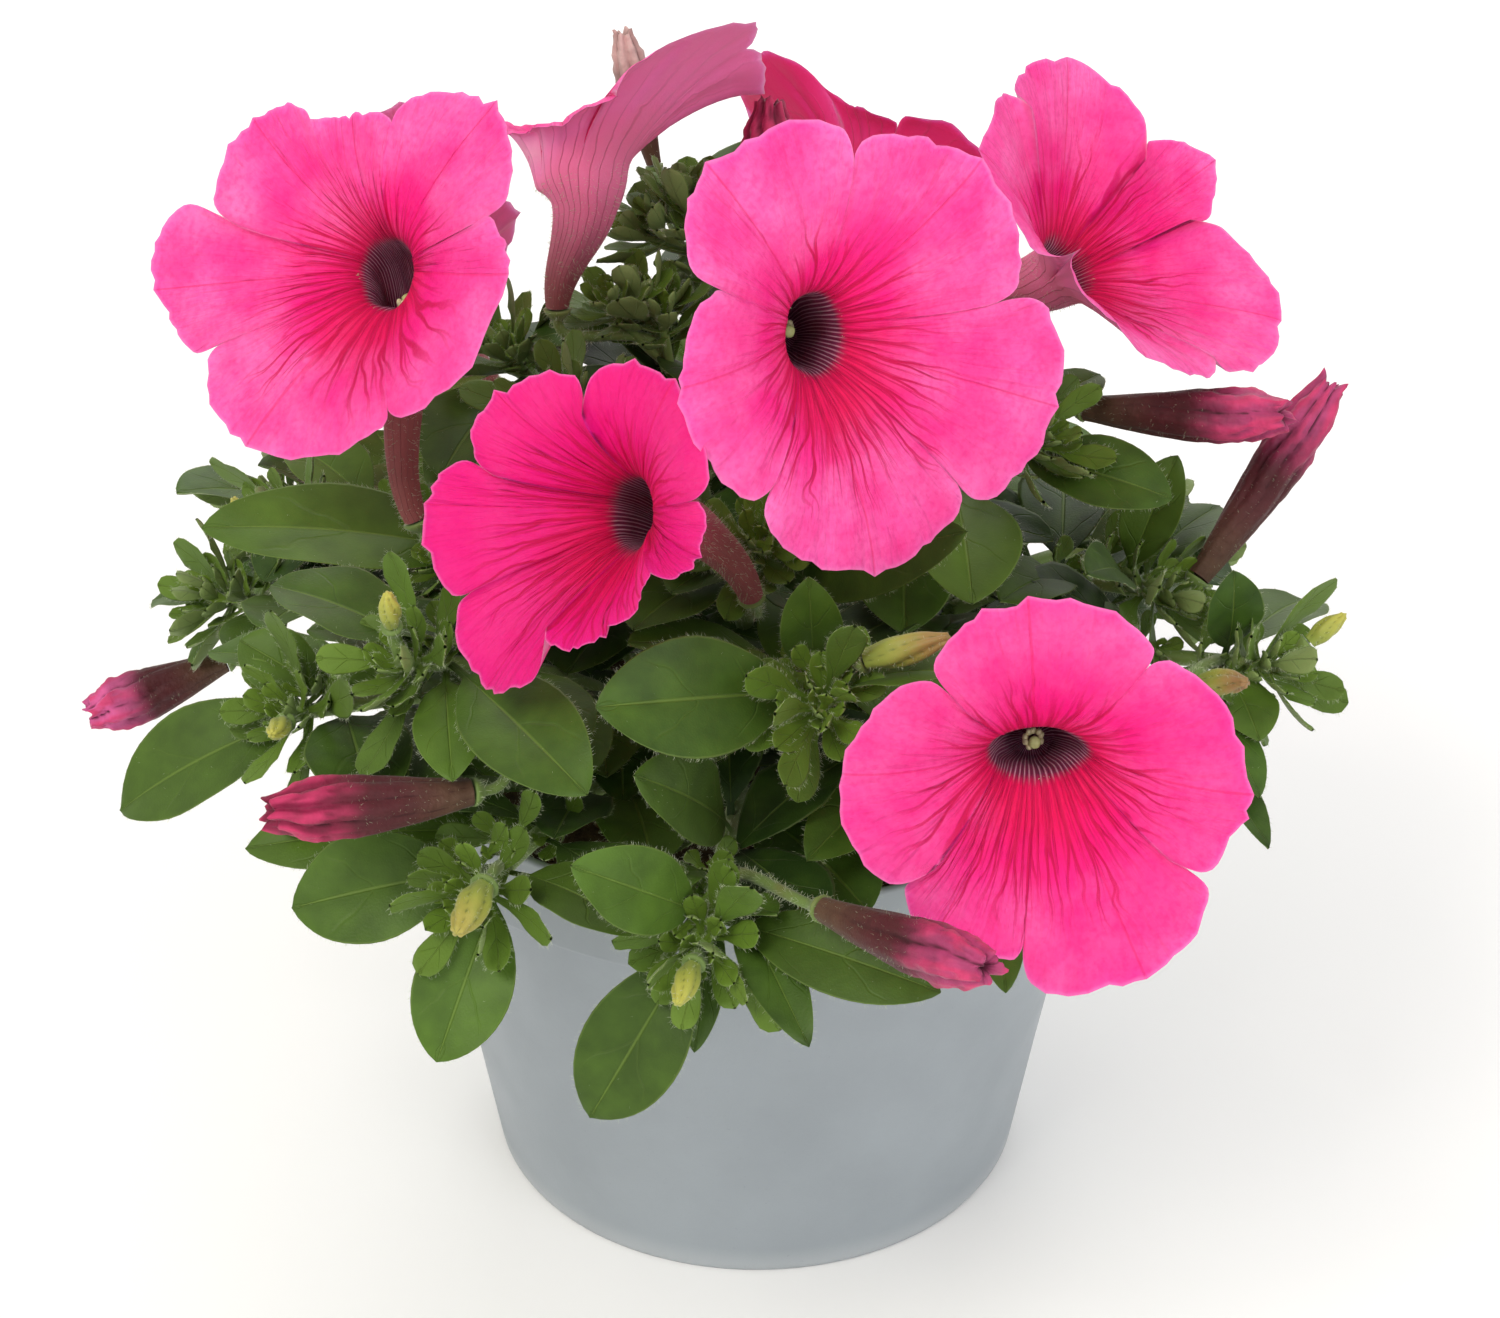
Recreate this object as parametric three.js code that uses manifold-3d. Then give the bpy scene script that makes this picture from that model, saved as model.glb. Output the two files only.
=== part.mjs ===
// A trailing petunia in a 12 cm plastic pot: pink trumpet blooms over a low mound of leafy shoots.
// Millimetres, +Z up. The origin is the centre of the pot's underside, and the front looks along -Y.

import * as THREE from 'three';
import { mergeVertices } from 'three/addons/utils/BufferGeometryUtils.js';
import Module from 'manifold-3d';

const wasm = await Module();
wasm.setup();

// Pot and soil
const potHeight = 85;
const potBaseRadius = 45.2;
const potWallRadius = 57;
const potLipRadius = 59.4;
const potLipHeight = 15;
const potRimRadius = 60;
const potWall = 1.3;
const potFloor = 1.6;
const potSides = 32;
const drainHoles = { count: 6, radius: 3.5, ring: 31 };
const soilTop = 75;
const soilRelief = 1.6;
const fitGap = 0.65;
const stemHole = { radius: 2.1, depth: 18, sides: 5 };

// Green parts
const stem = { sides: 4, foot: 1.7, tip: 1.15, jointLength: 2, joints: [0.38, 0.56, 0.73, 0.87] };
const pedicel = { sides: 4, radius: 0.95, steps: [0.3, 0.65, 1] };
const calyx = { sepals: 5, length: 13, width: 3.2, spread: 0.72, cupLength: 1.8, cup: 2.2 };
const tuft = { ring: 4, polar: [0.15, 0.62, 1.15], longest: 15, shortest: 6, levelLength: 1.9 };
const filler = { places: [0.38, 0.56, 0.73, 0.5, 0.87, 0.65], length: 28, slimness: 0.56 };
const bladeThickness = 0.95;
const leafGap = 0.45;
const petioleShare = 0.14;
const petioleHalfWidth = 0.75;
const ownGap = 0.25;
const bladeFrom = 0.24;
const rootFrom = 0.03;
const jointPull = 3;
const leastFacing = 0.25;

// Blooms
const tube = { foot: 1.8, waist: 2.9, throat: 4.6, mouth: 7.2, wall: 0.75, floorAt: 0.6 };
const cupDepth = 6;
const rimShoulders = [-1, -0.62, -0.25, 0, 0.25, 0.62];
const seatGap = 0.3;

const leafShapes = {
  ovate: { rise: 0.9, fall: 0.75 },
  spoon: { rise: 1.1, fall: 0.45 },
};

// Every shoot leaves the soil at its hole, bends through two points and ends in a tuft.
const shoots = [
  { name: 'shoot_left_centre', hole: [-14, -14], via: [[-20, -30, 108], [-36, -52, 122]], tip: [-50, -66, 130] },
  { name: 'shoot_left_low', hole: [-20, -8], via: [[-30, -22, 104], [-52, -42, 110]], tip: [-68, -57, 116] },
  { name: 'shoot_front_left', hole: [-12, -22], via: [[-18, -40, 102], [-30, -66, 104]], tip: [-40, -86, 103] },
  { name: 'shoot_front', hole: [-2, -25], via: [[-2, -44, 100], [-5, -70, 100]], tip: [-8, -90, 97] },
  { name: 'shoot_centre', hole: [4, -16], via: [[5, -26, 108], [8, -52, 122]], tip: [9, -76, 128] },
  { name: 'shoot_front_right', hole: [12, -21], via: [[18, -36, 102], [28, -52, 106]], tip: [34, -64, 108] },
  { name: 'shoot_right_low', hole: [21, -6], via: [[34, -10, 102], [60, -22, 106]], tip: [79, -34, 110] },
  { name: 'shoot_right', hole: [17, 3], via: [[26, -2, 106], [46, -10, 116]], tip: [64, -22, 115] },
  { name: 'shoot_right_high', hole: [9, -3], via: [[12, -6, 116], [26, -18, 136]], tip: [42, -28, 146] },
  { name: 'shoot_left', hole: [-23, 1], via: [[-34, 0, 102], [-66, -4, 104]], tip: [-86, -10, 108] },
  { name: 'shoot_left_back', hole: [-17, 9], via: [[-28, 10, 106], [-58, 6, 118]], tip: [-78, 0, 116] },
  { name: 'shoot_top', hole: [-4, 6], via: [[-6, 8, 112], [-12, 10, 134]], tip: [-18, 12, 150] },
  { name: 'shoot_left_high', hole: [-10, -4], via: [[-14, -10, 112], [-30, -24, 124]], tip: [-47, -33, 128] },
  { name: 'shoot_centre_high', hole: [-2, -9], via: [[-2, -14, 114], [-2, -28, 128]], tip: [0, -42, 136] },
  { name: 'shoot_top_right', hole: [6, 8], via: [[10, 8, 114], [18, 6, 130]], tip: [26, 4, 142] },
  { name: 'shoot_back_top', hole: [0, 15], via: [[0, 20, 112], [0, 24, 130]], tip: [4, 26, 144] },
  { name: 'shoot_back_left_high', hole: [-11, 15], via: [[-18, 20, 110], [-32, 26, 122]], tip: [-42, 28, 134] },
  { name: 'shoot_right_back', hole: [20, 12], via: [[34, 20, 100], [58, 32, 96]], tip: [74, 40, 89] },
  { name: 'shoot_back_right', hole: [12, 20], via: [[20, 34, 104], [34, 62, 102]], tip: [43, 82, 94] },
  { name: 'shoot_back', hole: [-3, 25], via: [[-4, 40, 104], [-6, 70, 104]], tip: [-8, 92, 99] },
  { name: 'shoot_back_left', hole: [-15, 23], via: [[-24, 38, 102], [-44, 58, 106]], tip: [-58, 72, 104] },
  { name: 'shoot_far_left', hole: [-24, 10], via: [[-36, 16, 102], [-66, 28, 106]], tip: [-84, 34, 100] },
  { name: 'shoot_inner_left', hole: [-8, -9], via: [[-11, -12, 114], [-20, -14, 130]], tip: [-30, -16, 146] },
  { name: 'shoot_inner_back', hole: [-6, 14], via: [[-8, 18, 116], [-8, 22, 138]], tip: [-10, 24, 160] },
];

// Open blooms. A lobe is its tip's angle, radius and lift in the plane of the bloom, and a notch
// is the same for the cut that follows it, both counted anticlockwise from the bloom's own right.
const blooms = [
  {
    name: 'left', shoot: 'shoot_left_high', at: 1, foot: [-50, -38, 138], rise: [-0.4, 0.15, 0.9],
    centre: [-58.1, -38, 175.3], facing: [-0.5, -0.72, 0.48],
    lobes: [[-2, 29.5, 1], [44, 34, -1], [88, 24.5, 0], [124, 31, 0], [176, 37, -2], [232, 28, 0]],
    notches: [[16, 22.6, 1], [72, 23.6, 0], [104, 25, 0], [152, 21.3, 0], [197, 22, 0], [294, 19.6, 1]],
  },
  {
    name: 'right', shoot: 'shoot_centre_high', at: 0.9, foot: [2, -30, 152], rise: [0.05, -0.2, 0.95],
    centre: [14.4, -64, 177.4], facing: [0.5, -0.82, 0.27],
    lobes: [[-17, 33, 0], [54, 30, 0], [132, 34, -1], [186, 28, 0], [274, 30, 0]],
    notches: [[14, 21, 0], [95, 25.5, 0], [157, 24, 0], [230, 22, 0], [308, 23.5, 0]],
  },
  {
    name: 'centre', shoot: 'shoot_centre_high', at: 0.62, foot: [-1, -50, 132], rise: [-0.2, -0.35, 0.9],
    centre: [-24.9, -74, 156.5], facing: [-0.5, -0.74, 0.44],
    lobes: [[-12, 22, 4], [50, 24, 0], [125, 22, 0], [172, 25, -1], [235, 26.5, -1], [300, 17, 6]],
    notches: [[8, 19, 1], [84, 15, 0], [152, 15, 0], [208, 18, 0], [262, 14, 3], [336, 16.5, 5]],
  },
  {
    name: 'front_right', shoot: 'shoot_front_right', at: 0.85, foot: [37, -66, 120], rise: [0.1, -0.9, 0.3],
    centre: [37.8, -100, 129.5], facing: [0.02, -0.97, 0.2],
    lobes: [[0, 27, 0], [96, 27.5, -1], [172, 27, 0], [234, 24, 1], [299, 29.5, 0]],
    notches: [[55, 22, 0], [131, 18.8, 0], [214, 17.6, 0], [264, 21, 0], [333, 18.8, 0]],
  },
  {
    name: 'far_right', shoot: 'shoot_top_right', at: 1, foot: [30, 5, 150], rise: [0.55, -0.1, 0.8],
    centre: [56.7, -4, 171.3], facing: [0.62, -0.3, 0.72],
    lobes: [[-9, 30, 2], [50, 26, 4], [114, 28.5, 0], [186, 29, -2], [268, 29, 1]],
    notches: [[28, 14, 1], [80, 12, 1], [155, 22.6, 0], [229, 18.7, 0], [304, 25, 0]],
  },
  {
    name: 'top', shoot: 'shoot_top', at: 0.8, foot: [-31, 5, 152], rise: [0, 0.15, 0.98],
    centre: [-22.6, 18, 184], facing: [-0.33, 0.55, 0.77], girth: 1.3,
    lobes: [[-58, 27.5, -2], [28, 25, -5], [104, 20.5, 2], [176, 18, 0], [240, 19.5, -3]],
    notches: [[-6, 16.2, -2], [68, 18.2, 0], [140, 16.5, 0], [210, 14, -1], [268, 18.5, -3]],
  },
  {
    name: 'back_top', shoot: 'shoot_back_top', at: 0.6, foot: [11, 34, 134], rise: [0.3, 0.5, 0.8],
    centre: [22, 50, 156], facing: [0.44, 0.77, 0.46],
    lobes: [[-44, 20.4, 0], [46, 22, 0], [120, 23, 0], [216, 30, 0], [248, 15.5, 0]],
    notches: [[-2, 15, 0], [82, 16, 0], [168, 18, 0], [230, 20.5, 0], [275, 11.5, 0]],
  },
  {
    name: 'back_left_top', shoot: 'shoot_back_left_high', at: 1, foot: [-46, 30, 141], rise: [-0.2, 0.3, 0.9],
    centre: [-58, 42, 160], facing: [-0.35, 0.75, 0.55],
    lobes: [[-10, 17, 0], [62, 22, 0], [134, 21, 0], [206, 20, 0], [274, 19, 0]],
    notches: [[26, 15, 0], [98, 15, 0], [170, 15, 0], [242, 14, 0], [314, 14, 0]],
  },
  {
    name: 'back', shoot: 'shoot_back', at: 0.5, foot: [12, 64, 112], rise: [0.2, 0.8, 0.4],
    centre: [18, 95, 108], facing: [0.15, 0.96, 0.12],
    lobes: [[4, 25, 0], [76, 26, 0], [148, 25, 1], [220, 27, 0], [292, 26, 0]],
    notches: [[40, 18, 0], [112, 18, 0], [184, 18, 0], [256, 19, 0], [328, 18, 0]],
  },
  {
    name: 'back_left', shoot: 'shoot_back_left', at: 0.55, foot: [-44, 44, 116], rise: [-0.4, 0.5, 0.7],
    centre: [-62, 66, 128], facing: [-0.55, 0.72, 0.42],
    lobes: [[-6, 24, 0], [66, 25, 0], [138, 25, 0], [210, 24, 0], [282, 24, 0]],
    notches: [[30, 17, 0], [102, 17, 0], [174, 17, 0], [246, 17, 0], [318, 17, 0]],
  },
];
const bloomsWithStamens = ['left', 'right', 'centre', 'front_right', 'far_right', 'back', 'back_left'];

// Wilted trumpets: closed, folded at the far end
const trumpets = [
  { name: 'far_left', shoot: 'shoot_left', at: 0.78, foot: [-86, -5, 94], end: [-108, -12, 88], width: 8.5 },
  { name: 'low_left', shoot: 'shoot_left_centre', at: 0.7, foot: [-40, -79, 117], end: [-67, -90, 121], width: 9 },
  { name: 'front', shoot: 'shoot_front', at: 0.7, foot: [9, -96, 109], end: [30, -122, 118], width: 8 },
  { name: 'right', shoot: 'shoot_right_high', at: 0.75, foot: [50, -12, 143], end: [79, -26, 149], width: 8.5 },
  { name: 'right_upright', shoot: 'shoot_right', at: 1, foot: [68, -20, 118], end: [89, -4, 144], width: 8 },
  { name: 'top_dark', shoot: 'shoot_back_top', at: 0.6, foot: [1, 12, 154], end: [2, 22, 180], width: 8 },
  { name: 'top_pale', shoot: 'shoot_inner_back', at: 0.75, foot: [-17, 48, 158], end: [-22, 52, 180], width: 5.5 },
];

// Shut buds: a coloured tip between its sepals
const buds = [
  { name: 'front_left', shoot: 'shoot_front_left', at: 0.88, foot: [-38, -88, 107], end: [-41, -97, 106], width: 6 },
  { name: 'centre', shoot: 'shoot_centre', at: 0.85, foot: [15, -73, 135], end: [26, -76, 140], width: 5.5 },
  { name: 'right', shoot: 'shoot_right_low', at: 0.8, foot: [66, -46, 115], end: [71, -53, 119], width: 5 },
  { name: 'front', shoot: 'shoot_front', at: 1, foot: [-9, -94, 98], end: [-11, -101, 97], width: 4.5 },
  { name: 'left_centre', shoot: 'shoot_left_centre', at: 1, foot: [-51, -67, 137], end: [-51, -69, 143], width: 4 },
  { name: 'left_low', shoot: 'shoot_left_low', at: 1, foot: [-68, -61, 117], end: [-69, -67, 119], width: 4 },
  { name: 'left_back', shoot: 'shoot_left_back', at: 1, foot: [-80, -3, 118], end: [-82, -6, 124], width: 4 },
  { name: 'far_right', shoot: 'shoot_right_low', at: 1, foot: [84, -31, 113], end: [89, -30, 117], width: 4 },
];

// Large leaves, each by the shoot that it grows on, its place along it, its tip and its width
const largeLeaves = [
  { shoot: 'shoot_centre', at: 0.86, tip: [-22, -84, 134], width: 17, face: [0, -0.8, 0.6] },
  { shoot: 'shoot_centre', at: 0.8, tip: [7, -66, 144], width: 9, face: [0, -0.95, 0.3] },
  { shoot: 'shoot_left_centre', at: 0.85, tip: [-23, -92, 125], width: 15, face: [-0.1, -0.6, 0.8] },
  { shoot: 'shoot_left_centre', at: 0.92, tip: [-42, -84, 123], width: 10, face: [0, -0.6, 0.8] },
  { shoot: 'shoot_left_low', at: 0.86, tip: [-95, -52, 96], width: 17, face: [-0.2, -0.4, 0.9] },
  { shoot: 'shoot_front_left', at: 0.7, tip: [-74, -68, 100], width: 12, face: [-0.2, -0.5, 0.85] },
  { shoot: 'shoot_front_left', at: 0.8, tip: [-66, -80, 98], width: 16, face: [-0.2, -0.7, 0.7] },
  { shoot: 'shoot_front_left', at: 0.93, tip: [-45, -96, 83], width: 14, face: [-0.1, -1, 0.1] },
  { shoot: 'shoot_front', at: 0.84, tip: [-25, -100, 119], width: 12, face: [0, -0.8, 0.6] },
  { shoot: 'shoot_front', at: 0.9, tip: [-24, -92, 70], width: 15, face: [-0.2, -1, 0.2] },
  { shoot: 'shoot_front', at: 0.86, tip: [25, -100, 98], width: 12, face: [0.1, -0.7, 0.7] },
  { shoot: 'shoot_front', at: 0.95, tip: [7, -103, 91], width: 8, face: [0.1, -0.8, 0.5] },
  { shoot: 'shoot_front', at: 0.93, tip: [-9, -98, 82], width: 6, face: [0, -1, 0.2] },
  { shoot: 'shoot_front_right', at: 0.8, tip: [35, -88, 89], width: 9, face: [0.1, -0.8, 0.6] },
  { shoot: 'shoot_right_high', at: 0.88, tip: [61, -34, 139], width: 13, face: [0.2, -0.6, 0.8] },
  { shoot: 'shoot_right', at: 0.82, tip: [64, -16, 137], width: 9, face: [-0.3, -0.8, 0.4] },
  { shoot: 'shoot_right', at: 0.7, tip: [36, -38, 124], width: 11, face: [0, -0.5, 0.85] },
  { shoot: 'shoot_right', at: 0.88, tip: [48, -44, 132], width: 9, face: [-0.2, -0.8, 0.6] },
  { shoot: 'shoot_right_low', at: 0.72, tip: [74, -56, 101], width: 9, face: [0.5, -0.7, 0.5] },
  { shoot: 'shoot_right_low', at: 0.6, tip: [75, -62, 96], width: 10, face: [0.5, -0.6, 0.5] },
  { shoot: 'shoot_right_low', at: 0.87, tip: [93, -42, 108], width: 8, face: [0.2, -0.6, 0.8] },
  { shoot: 'shoot_right_low', at: 0.85, tip: [71, -34, 127], width: 9, face: [0.2, -0.9, 0.4] },
  { shoot: 'shoot_centre_high', at: 0.55, tip: [29, -62, 149], width: 13, face: [0.2, -0.8, 0.5] },
  { shoot: 'shoot_left_high', at: 0.78, tip: [-83, -30, 132], width: 16, face: [-0.3, -0.4, 0.85] },
  { shoot: 'shoot_left_low', at: 0.9, tip: [-76, -46, 122], width: 10, face: [-0.3, -0.5, 0.8] },
  { shoot: 'shoot_left', at: 0.84, tip: [-98, 2, 101], width: 12, face: [-0.4, 0.1, 0.9] },
  { shoot: 'shoot_front', at: 0.6, tip: [-17, -84, 123], width: 13, face: [0, -0.7, 0.7] },
  { shoot: 'shoot_front_right', at: 0.55, tip: [7, -74, 102], width: 11, face: [0, -0.6, 0.8] },
];

const colours = {
  pot: 0x9ba3a6, soil: 0x3a2c22, leaf: 0x4f7a34, petal: 0xf7438f, wilted: 0x9a3a5e, wiltedPale: 0xb98a8a,
  pollen: 0xe9dfb8, budTip: 0xc9c23e,
};

const vec = (xyz) => new THREE.Vector3(...xyz);
const mix = THREE.MathUtils.lerp;
const turn = 2 * Math.PI;

function noise(...keys) {
  const mixed = keys.reduce((sum, key, i) => sum + (key + 1) * (12.9898 + 21.3179 * i), 0);
  const wave = Math.sin(mixed) * 43758.5453;
  return wave - Math.floor(wave);
}

function across(axis, hint) {
  return hint.clone().addScaledVector(axis, -hint.dot(axis)).normalize();
}

// A closed skin that grows ring by ring; rings run anticlockwise seen from the far end
class Skin {
  constructor() {
    this.points = [];
    this.triangles = [];
  }

  ring(points) {
    const start = this.points.length;
    this.points.push(...points);
    return points.map((_, k) => start + k);
  }

  // Turns the near ring so that its corners come before those of the far one
  turned(near, far) {
    const step = far.length / near.length;
    const spread = (shift) => near.reduce((sum, _, k) => {
      const from = this.points[near[(k + shift) % near.length]];
      return sum + from.distanceToSquared(this.points[far[Math.floor(k * step)]]);
    }, 0);
    const shifts = near.map((_, k) => k);
    const best = shifts.reduce((kept, shift) => (spread(shift) < spread(kept) ? shift : kept), 0);
    return near.map((_, k) => near[(k + best) % near.length]);
  }

  band(near, far, mirrored = false) {
    near.forEach((a, k) => {
      const next = (k + 1) % near.length;
      const [b, c, d] = [near[next], far[next], far[k]];
      if (mirrored && k >= near.length / 2) this.triangles.push(a, b, d, b, c, d);
      else this.triangles.push(a, b, c, a, c, d);
    });
  }

  doubled(near, far) {
    near.forEach((a, k) => {
      const b = near[(k + 1) % near.length];
      const [c, d, e] = [far[2 * k], far[2 * k + 1], far[(2 * k + 2) % far.length]];
      this.triangles.push(a, d, c, a, b, d, b, e, d);
    });
  }

  bridge(near, far) {
    let i = 0;
    let j = 0;
    while (i < near.length || j < far.length) {
      const a = near[i % near.length];
      const d = far[j % far.length];
      if (i / near.length <= j / far.length) {
        this.triangles.push(a, near[(i + 1) % near.length], d);
        i += 1;
      } else {
        this.triangles.push(a, far[(j + 1) % far.length], d);
        j += 1;
      }
    }
  }

  point(ring, apex) {
    const [top] = this.ring([apex]);
    ring.forEach((a, k) => this.triangles.push(a, ring[(k + 1) % ring.length], top));
  }

  cap(ring) {
    for (let k = 1; k + 1 < ring.length; k += 1) this.triangles.push(ring[0], ring[k], ring[k + 1]);
  }

  base(ring) {
    this.cap([...ring].reverse());
  }

  bands(rings, mirrored = false) {
    for (let i = 0; i + 1 < rings.length; i += 1) this.band(rings[i], rings[i + 1], mirrored);
    return rings.at(-1);
  }

  flipped() {
    return this.triangles.map((_, i) => this.triangles[i % 3 === 0 ? i : i + (i % 3 === 1 ? 1 : -1)]);
  }

  solid() {
    const vertProperties = new Float32Array(this.points.flatMap((p) => p.toArray()));
    const triVerts = new Uint32Array(this.triangles);
    return new wasm.Manifold(new wasm.Mesh({ numProp: 3, vertProperties, triVerts }));
  }

  geometry() {
    const geometry = new THREE.BufferGeometry().setFromPoints(this.points);
    geometry.setIndex(this.triangles);
    geometry.computeVertexNormals();
    return geometry;
  }
}

// Booleans for the pot and the soil
function toSolid(geometry) {
  const bare = geometry.clone();
  bare.deleteAttribute('normal');
  bare.deleteAttribute('uv');
  const merged = mergeVertices(bare, 1e-4);
  const vertProperties = new Float32Array(merged.attributes.position.array);
  const triVerts = new Uint32Array(merged.index.array);
  return new wasm.Manifold(new wasm.Mesh({ numProp: 3, vertProperties, triVerts }));
}

function toGeometry(solid) {
  const mesh = solid.getMesh();
  const geometry = new THREE.BufferGeometry();
  geometry.setAttribute('position', new THREE.BufferAttribute(new Float32Array(mesh.vertProperties), 3));
  geometry.setIndex(new THREE.BufferAttribute(new Uint32Array(mesh.triVerts), 1));
  geometry.computeVertexNormals();
  return geometry;
}

function frameAlong(curve, share, hint) {
  const forward = curve.getTangent(share);
  const right = across(forward, hint);
  return { centre: curve.getPoint(share), forward, right, up: forward.clone().cross(right) };
}

const outwardOf = ({ right, up }, angle) => right.clone().multiplyScalar(Math.cos(angle))
  .addScaledVector(up, Math.sin(angle));

function circleOf(frame, radius, angles) {
  return angles.map((angle) => outwardOf(frame, angle).multiplyScalar(radius).add(frame.centre));
}

const evenAngles = (count, start = 0) => Array.from({ length: count }, (_, k) => start + (k / count) * turn);

// Half the width of a blade at a share of its length, petiole first
function halfWidth(share, width, shape) {
  const s = (share - petioleShare) / (1 - petioleShare);
  if (s <= 0) return petioleHalfWidth;
  const { rise, fall } = leafShapes[shape];
  const peak = rise / (rise + fall);
  const swell = (s / peak) ** rise * ((1 - s) / (1 - peak)) ** fall;
  return Math.max(petioleHalfWidth * (1 - s), (width / 2) * swell);
}

// The sections of a leaf blade: a midrib that bows, and sides that fold up a little along it
function bladeSections({ root, tip, width, face, bow = 0.14, fold = 0.22, shape = 'ovate', wide = false }, shares, spare) {
  const along = tip.clone().sub(root);
  const length = along.length();
  const up = across(along.normalize(), face);
  const side = along.clone().cross(up);
  const middle = root.clone().lerp(tip, 0.5).addScaledVector(up, bow * length);
  const rib = new THREE.QuadraticBezierCurve3(root, middle, tip);
  const columns = wide ? [-1, -0.5, 0, 0.5, 1] : [-1, 0, 1];
  return shares.map((share) => {
    const centre = rib.getPoint(share);
    const normal = across(rib.getTangent(share), up);
    const half = halfWidth(share, width, shape) + spare;
    const thick = bladeThickness / 2 + spare;
    const place = (q, lift) => centre.clone()
      .addScaledVector(side, q * half)
      .addScaledVector(normal, Math.abs(q) * half * fold + lift * (1 - q * q));
    const above = columns.map((q) => place(q, thick));
    const below = columns.slice(1, -1).reverse().map((q) => place(q, -thick));
    return [...above, ...below];
  });
}

// A blade on its own, grown by what it must keep clear by, to try a place with
function looseBlade(spec, spare, from) {
  const skin = new Skin();
  const shares = [from, ...spec.shares.filter((share) => share > from)];
  const rings = bladeSections(spec, shares, spare).map((points) => skin.ring(points));
  skin.base(rings[0]);
  skin.point(skin.bands(rings, true), spec.tip.clone());
  return skin;
}

// A blade that grows out of four corners of what carries it
function growBlade(skin, corners, spec) {
  const rings = bladeSections(spec, spec.shares, 0).map((points) => skin.ring(points));
  const root = skin.turned(corners, rings[0]);
  if (spec.wide) skin.doubled(root, rings[0]);
  else skin.band(root, rings[0], true);
  skin.point(skin.bands(rings, true), spec.tip.clone());
}

// Corolla: the tube's line, and the limb's rim from its lobes and notches
function tubeLine(bloom) {
  const facing = vec(bloom.facing).normalize();
  const mouth = vec(bloom.centre).addScaledVector(facing, -cupDepth);
  const foot = vec(bloom.foot);
  const reach = mouth.distanceTo(foot) * 0.38;
  const low = foot.clone().addScaledVector(vec(bloom.rise).normalize(), reach);
  return new THREE.CubicBezierCurve3(foot, low, mouth.clone().addScaledVector(facing, -reach), mouth);
}

const tubeFrame = (line, share) => frameAlong(line, share, new THREE.Vector3(1, 0, 0));

// The angle, radius and lift of each column of the rim
function rimColumns({ lobes, notches }) {
  return lobes.flatMap(([tipAngle, tipRadius, tipLift], i) => {
    const before = notches[(i + notches.length - 1) % notches.length];
    return rimShoulders.map((t) => {
      const [notchAngle, notchRadius, notchLift] = t < 0 ? before : notches[i];
      const span = THREE.MathUtils.euclideanModulo((notchAngle - tipAngle) * Math.sign(t || 1), 360);
      const swell = (1 - Math.abs(t) ** 2.4) ** 0.45;
      return {
        angle: THREE.MathUtils.degToRad(tipAngle + t * span),
        radius: mix(notchRadius, tipRadius, swell),
        lift: mix(notchLift, tipLift, swell),
      };
    });
  });
}

function limbPoint(frame, column, share, drop) {
  const radius = mix(tube.mouth, column.radius, share);
  const height = cupDepth * (1 - (1 - share) ** 2.2) + column.lift * share * share - drop;
  return circleOf(frame, radius, [column.angle])[0].addScaledVector(frame.forward, height);
}

function corolla(bloom) {
  const line = tubeLine(bloom);
  const columns = rimColumns(bloom);
  const sparse = columns.filter((_, i) => i % 2 === 0).map((column) => column.angle);
  const mouthFrame = tubeFrame(line, 1);
  const skin = new Skin();
  const limb = (share, drop) => skin.ring(columns.map((column) => limbPoint(mouthFrame, column, share, drop)));
  const girth = bloom.girth ?? 1;
  const round = (share, radius) => skin.ring(circleOf(tubeFrame(line, share), radius, sparse));
  const [waist, throat] = [tube.waist * girth, tube.throat * girth];
  const outside = [round(0, tube.foot), round(0.4, waist), round(0.75, throat), round(1, tube.mouth + tube.wall)];
  const inside = [round(tube.floorAt, waist - 0.2), round(0.75, throat - tube.wall), round(1, tube.mouth)];
  const under = limb(0.45, tube.wall);
  const over = limb(0.45, 0);
  const rim = limb(1, 0);
  skin.base(outside[0]);
  skin.doubled(skin.bands(outside), under);
  skin.band(under, rim);
  const lining = new Skin();
  lining.points = skin.points;
  lining.base(inside[0]);
  lining.doubled(lining.bands(inside), over);
  lining.band(over, rim);
  skin.triangles.push(...lining.flipped());
  return skin;
}

// Stamens: a short column on the throat's floor under a knob of pollen heads
function stamens(bloom) {
  const line = tubeLine(bloom);
  const start = tube.floorAt + seatGap / line.getLength();
  const angles = evenAngles(8, 0.4);
  const skin = new Skin();
  const knobs = [[0, 0.8, 0.8], [0.08, 0.7, 0.7], [0.12, 1.9, 1], [0.17, 1.5, 0.7]];
  const rings = knobs.map(([climb, wide, narrow]) => {
    const frame = tubeFrame(line, start + climb);
    return skin.ring(angles.flatMap((angle, k) => circleOf(frame, k % 2 ? narrow : wide, [angle])));
  });
  skin.base(rings[0]);
  skin.point(skin.bands(rings), line.getPoint(start + 0.185));
  return skin;
}

// A closed trumpet or bud: a spindle from its foot that is fullest past the middle
function spindle({ foot, end, width }, swell, sides, sag) {
  const from = vec(foot);
  const to = vec(end);
  const middle = from.clone().lerp(to, 0.5).add(new THREE.Vector3(0, 0, -sag));
  const line = new THREE.QuadraticBezierCurve3(from, middle, to);
  const skin = new Skin();
  const hint = new THREE.Vector3(0.31, 0.37, 0.88);
  const rings = swell.map((size, i) => {
    const frame = frameAlong(line, i / (swell.length - 1), hint);
    return skin.ring(circleOf(frame, (width / 2) * size, evenAngles(sides)));
  });
  skin.base(rings[0]);
  skin.cap(skin.bands(rings));
  return skin;
}

const trumpetSwell = [0.42, 0.62, 0.82, 1, 0.98, 0.55];
const budSwell = [0.62, 1, 0.9, 0.35];

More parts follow.
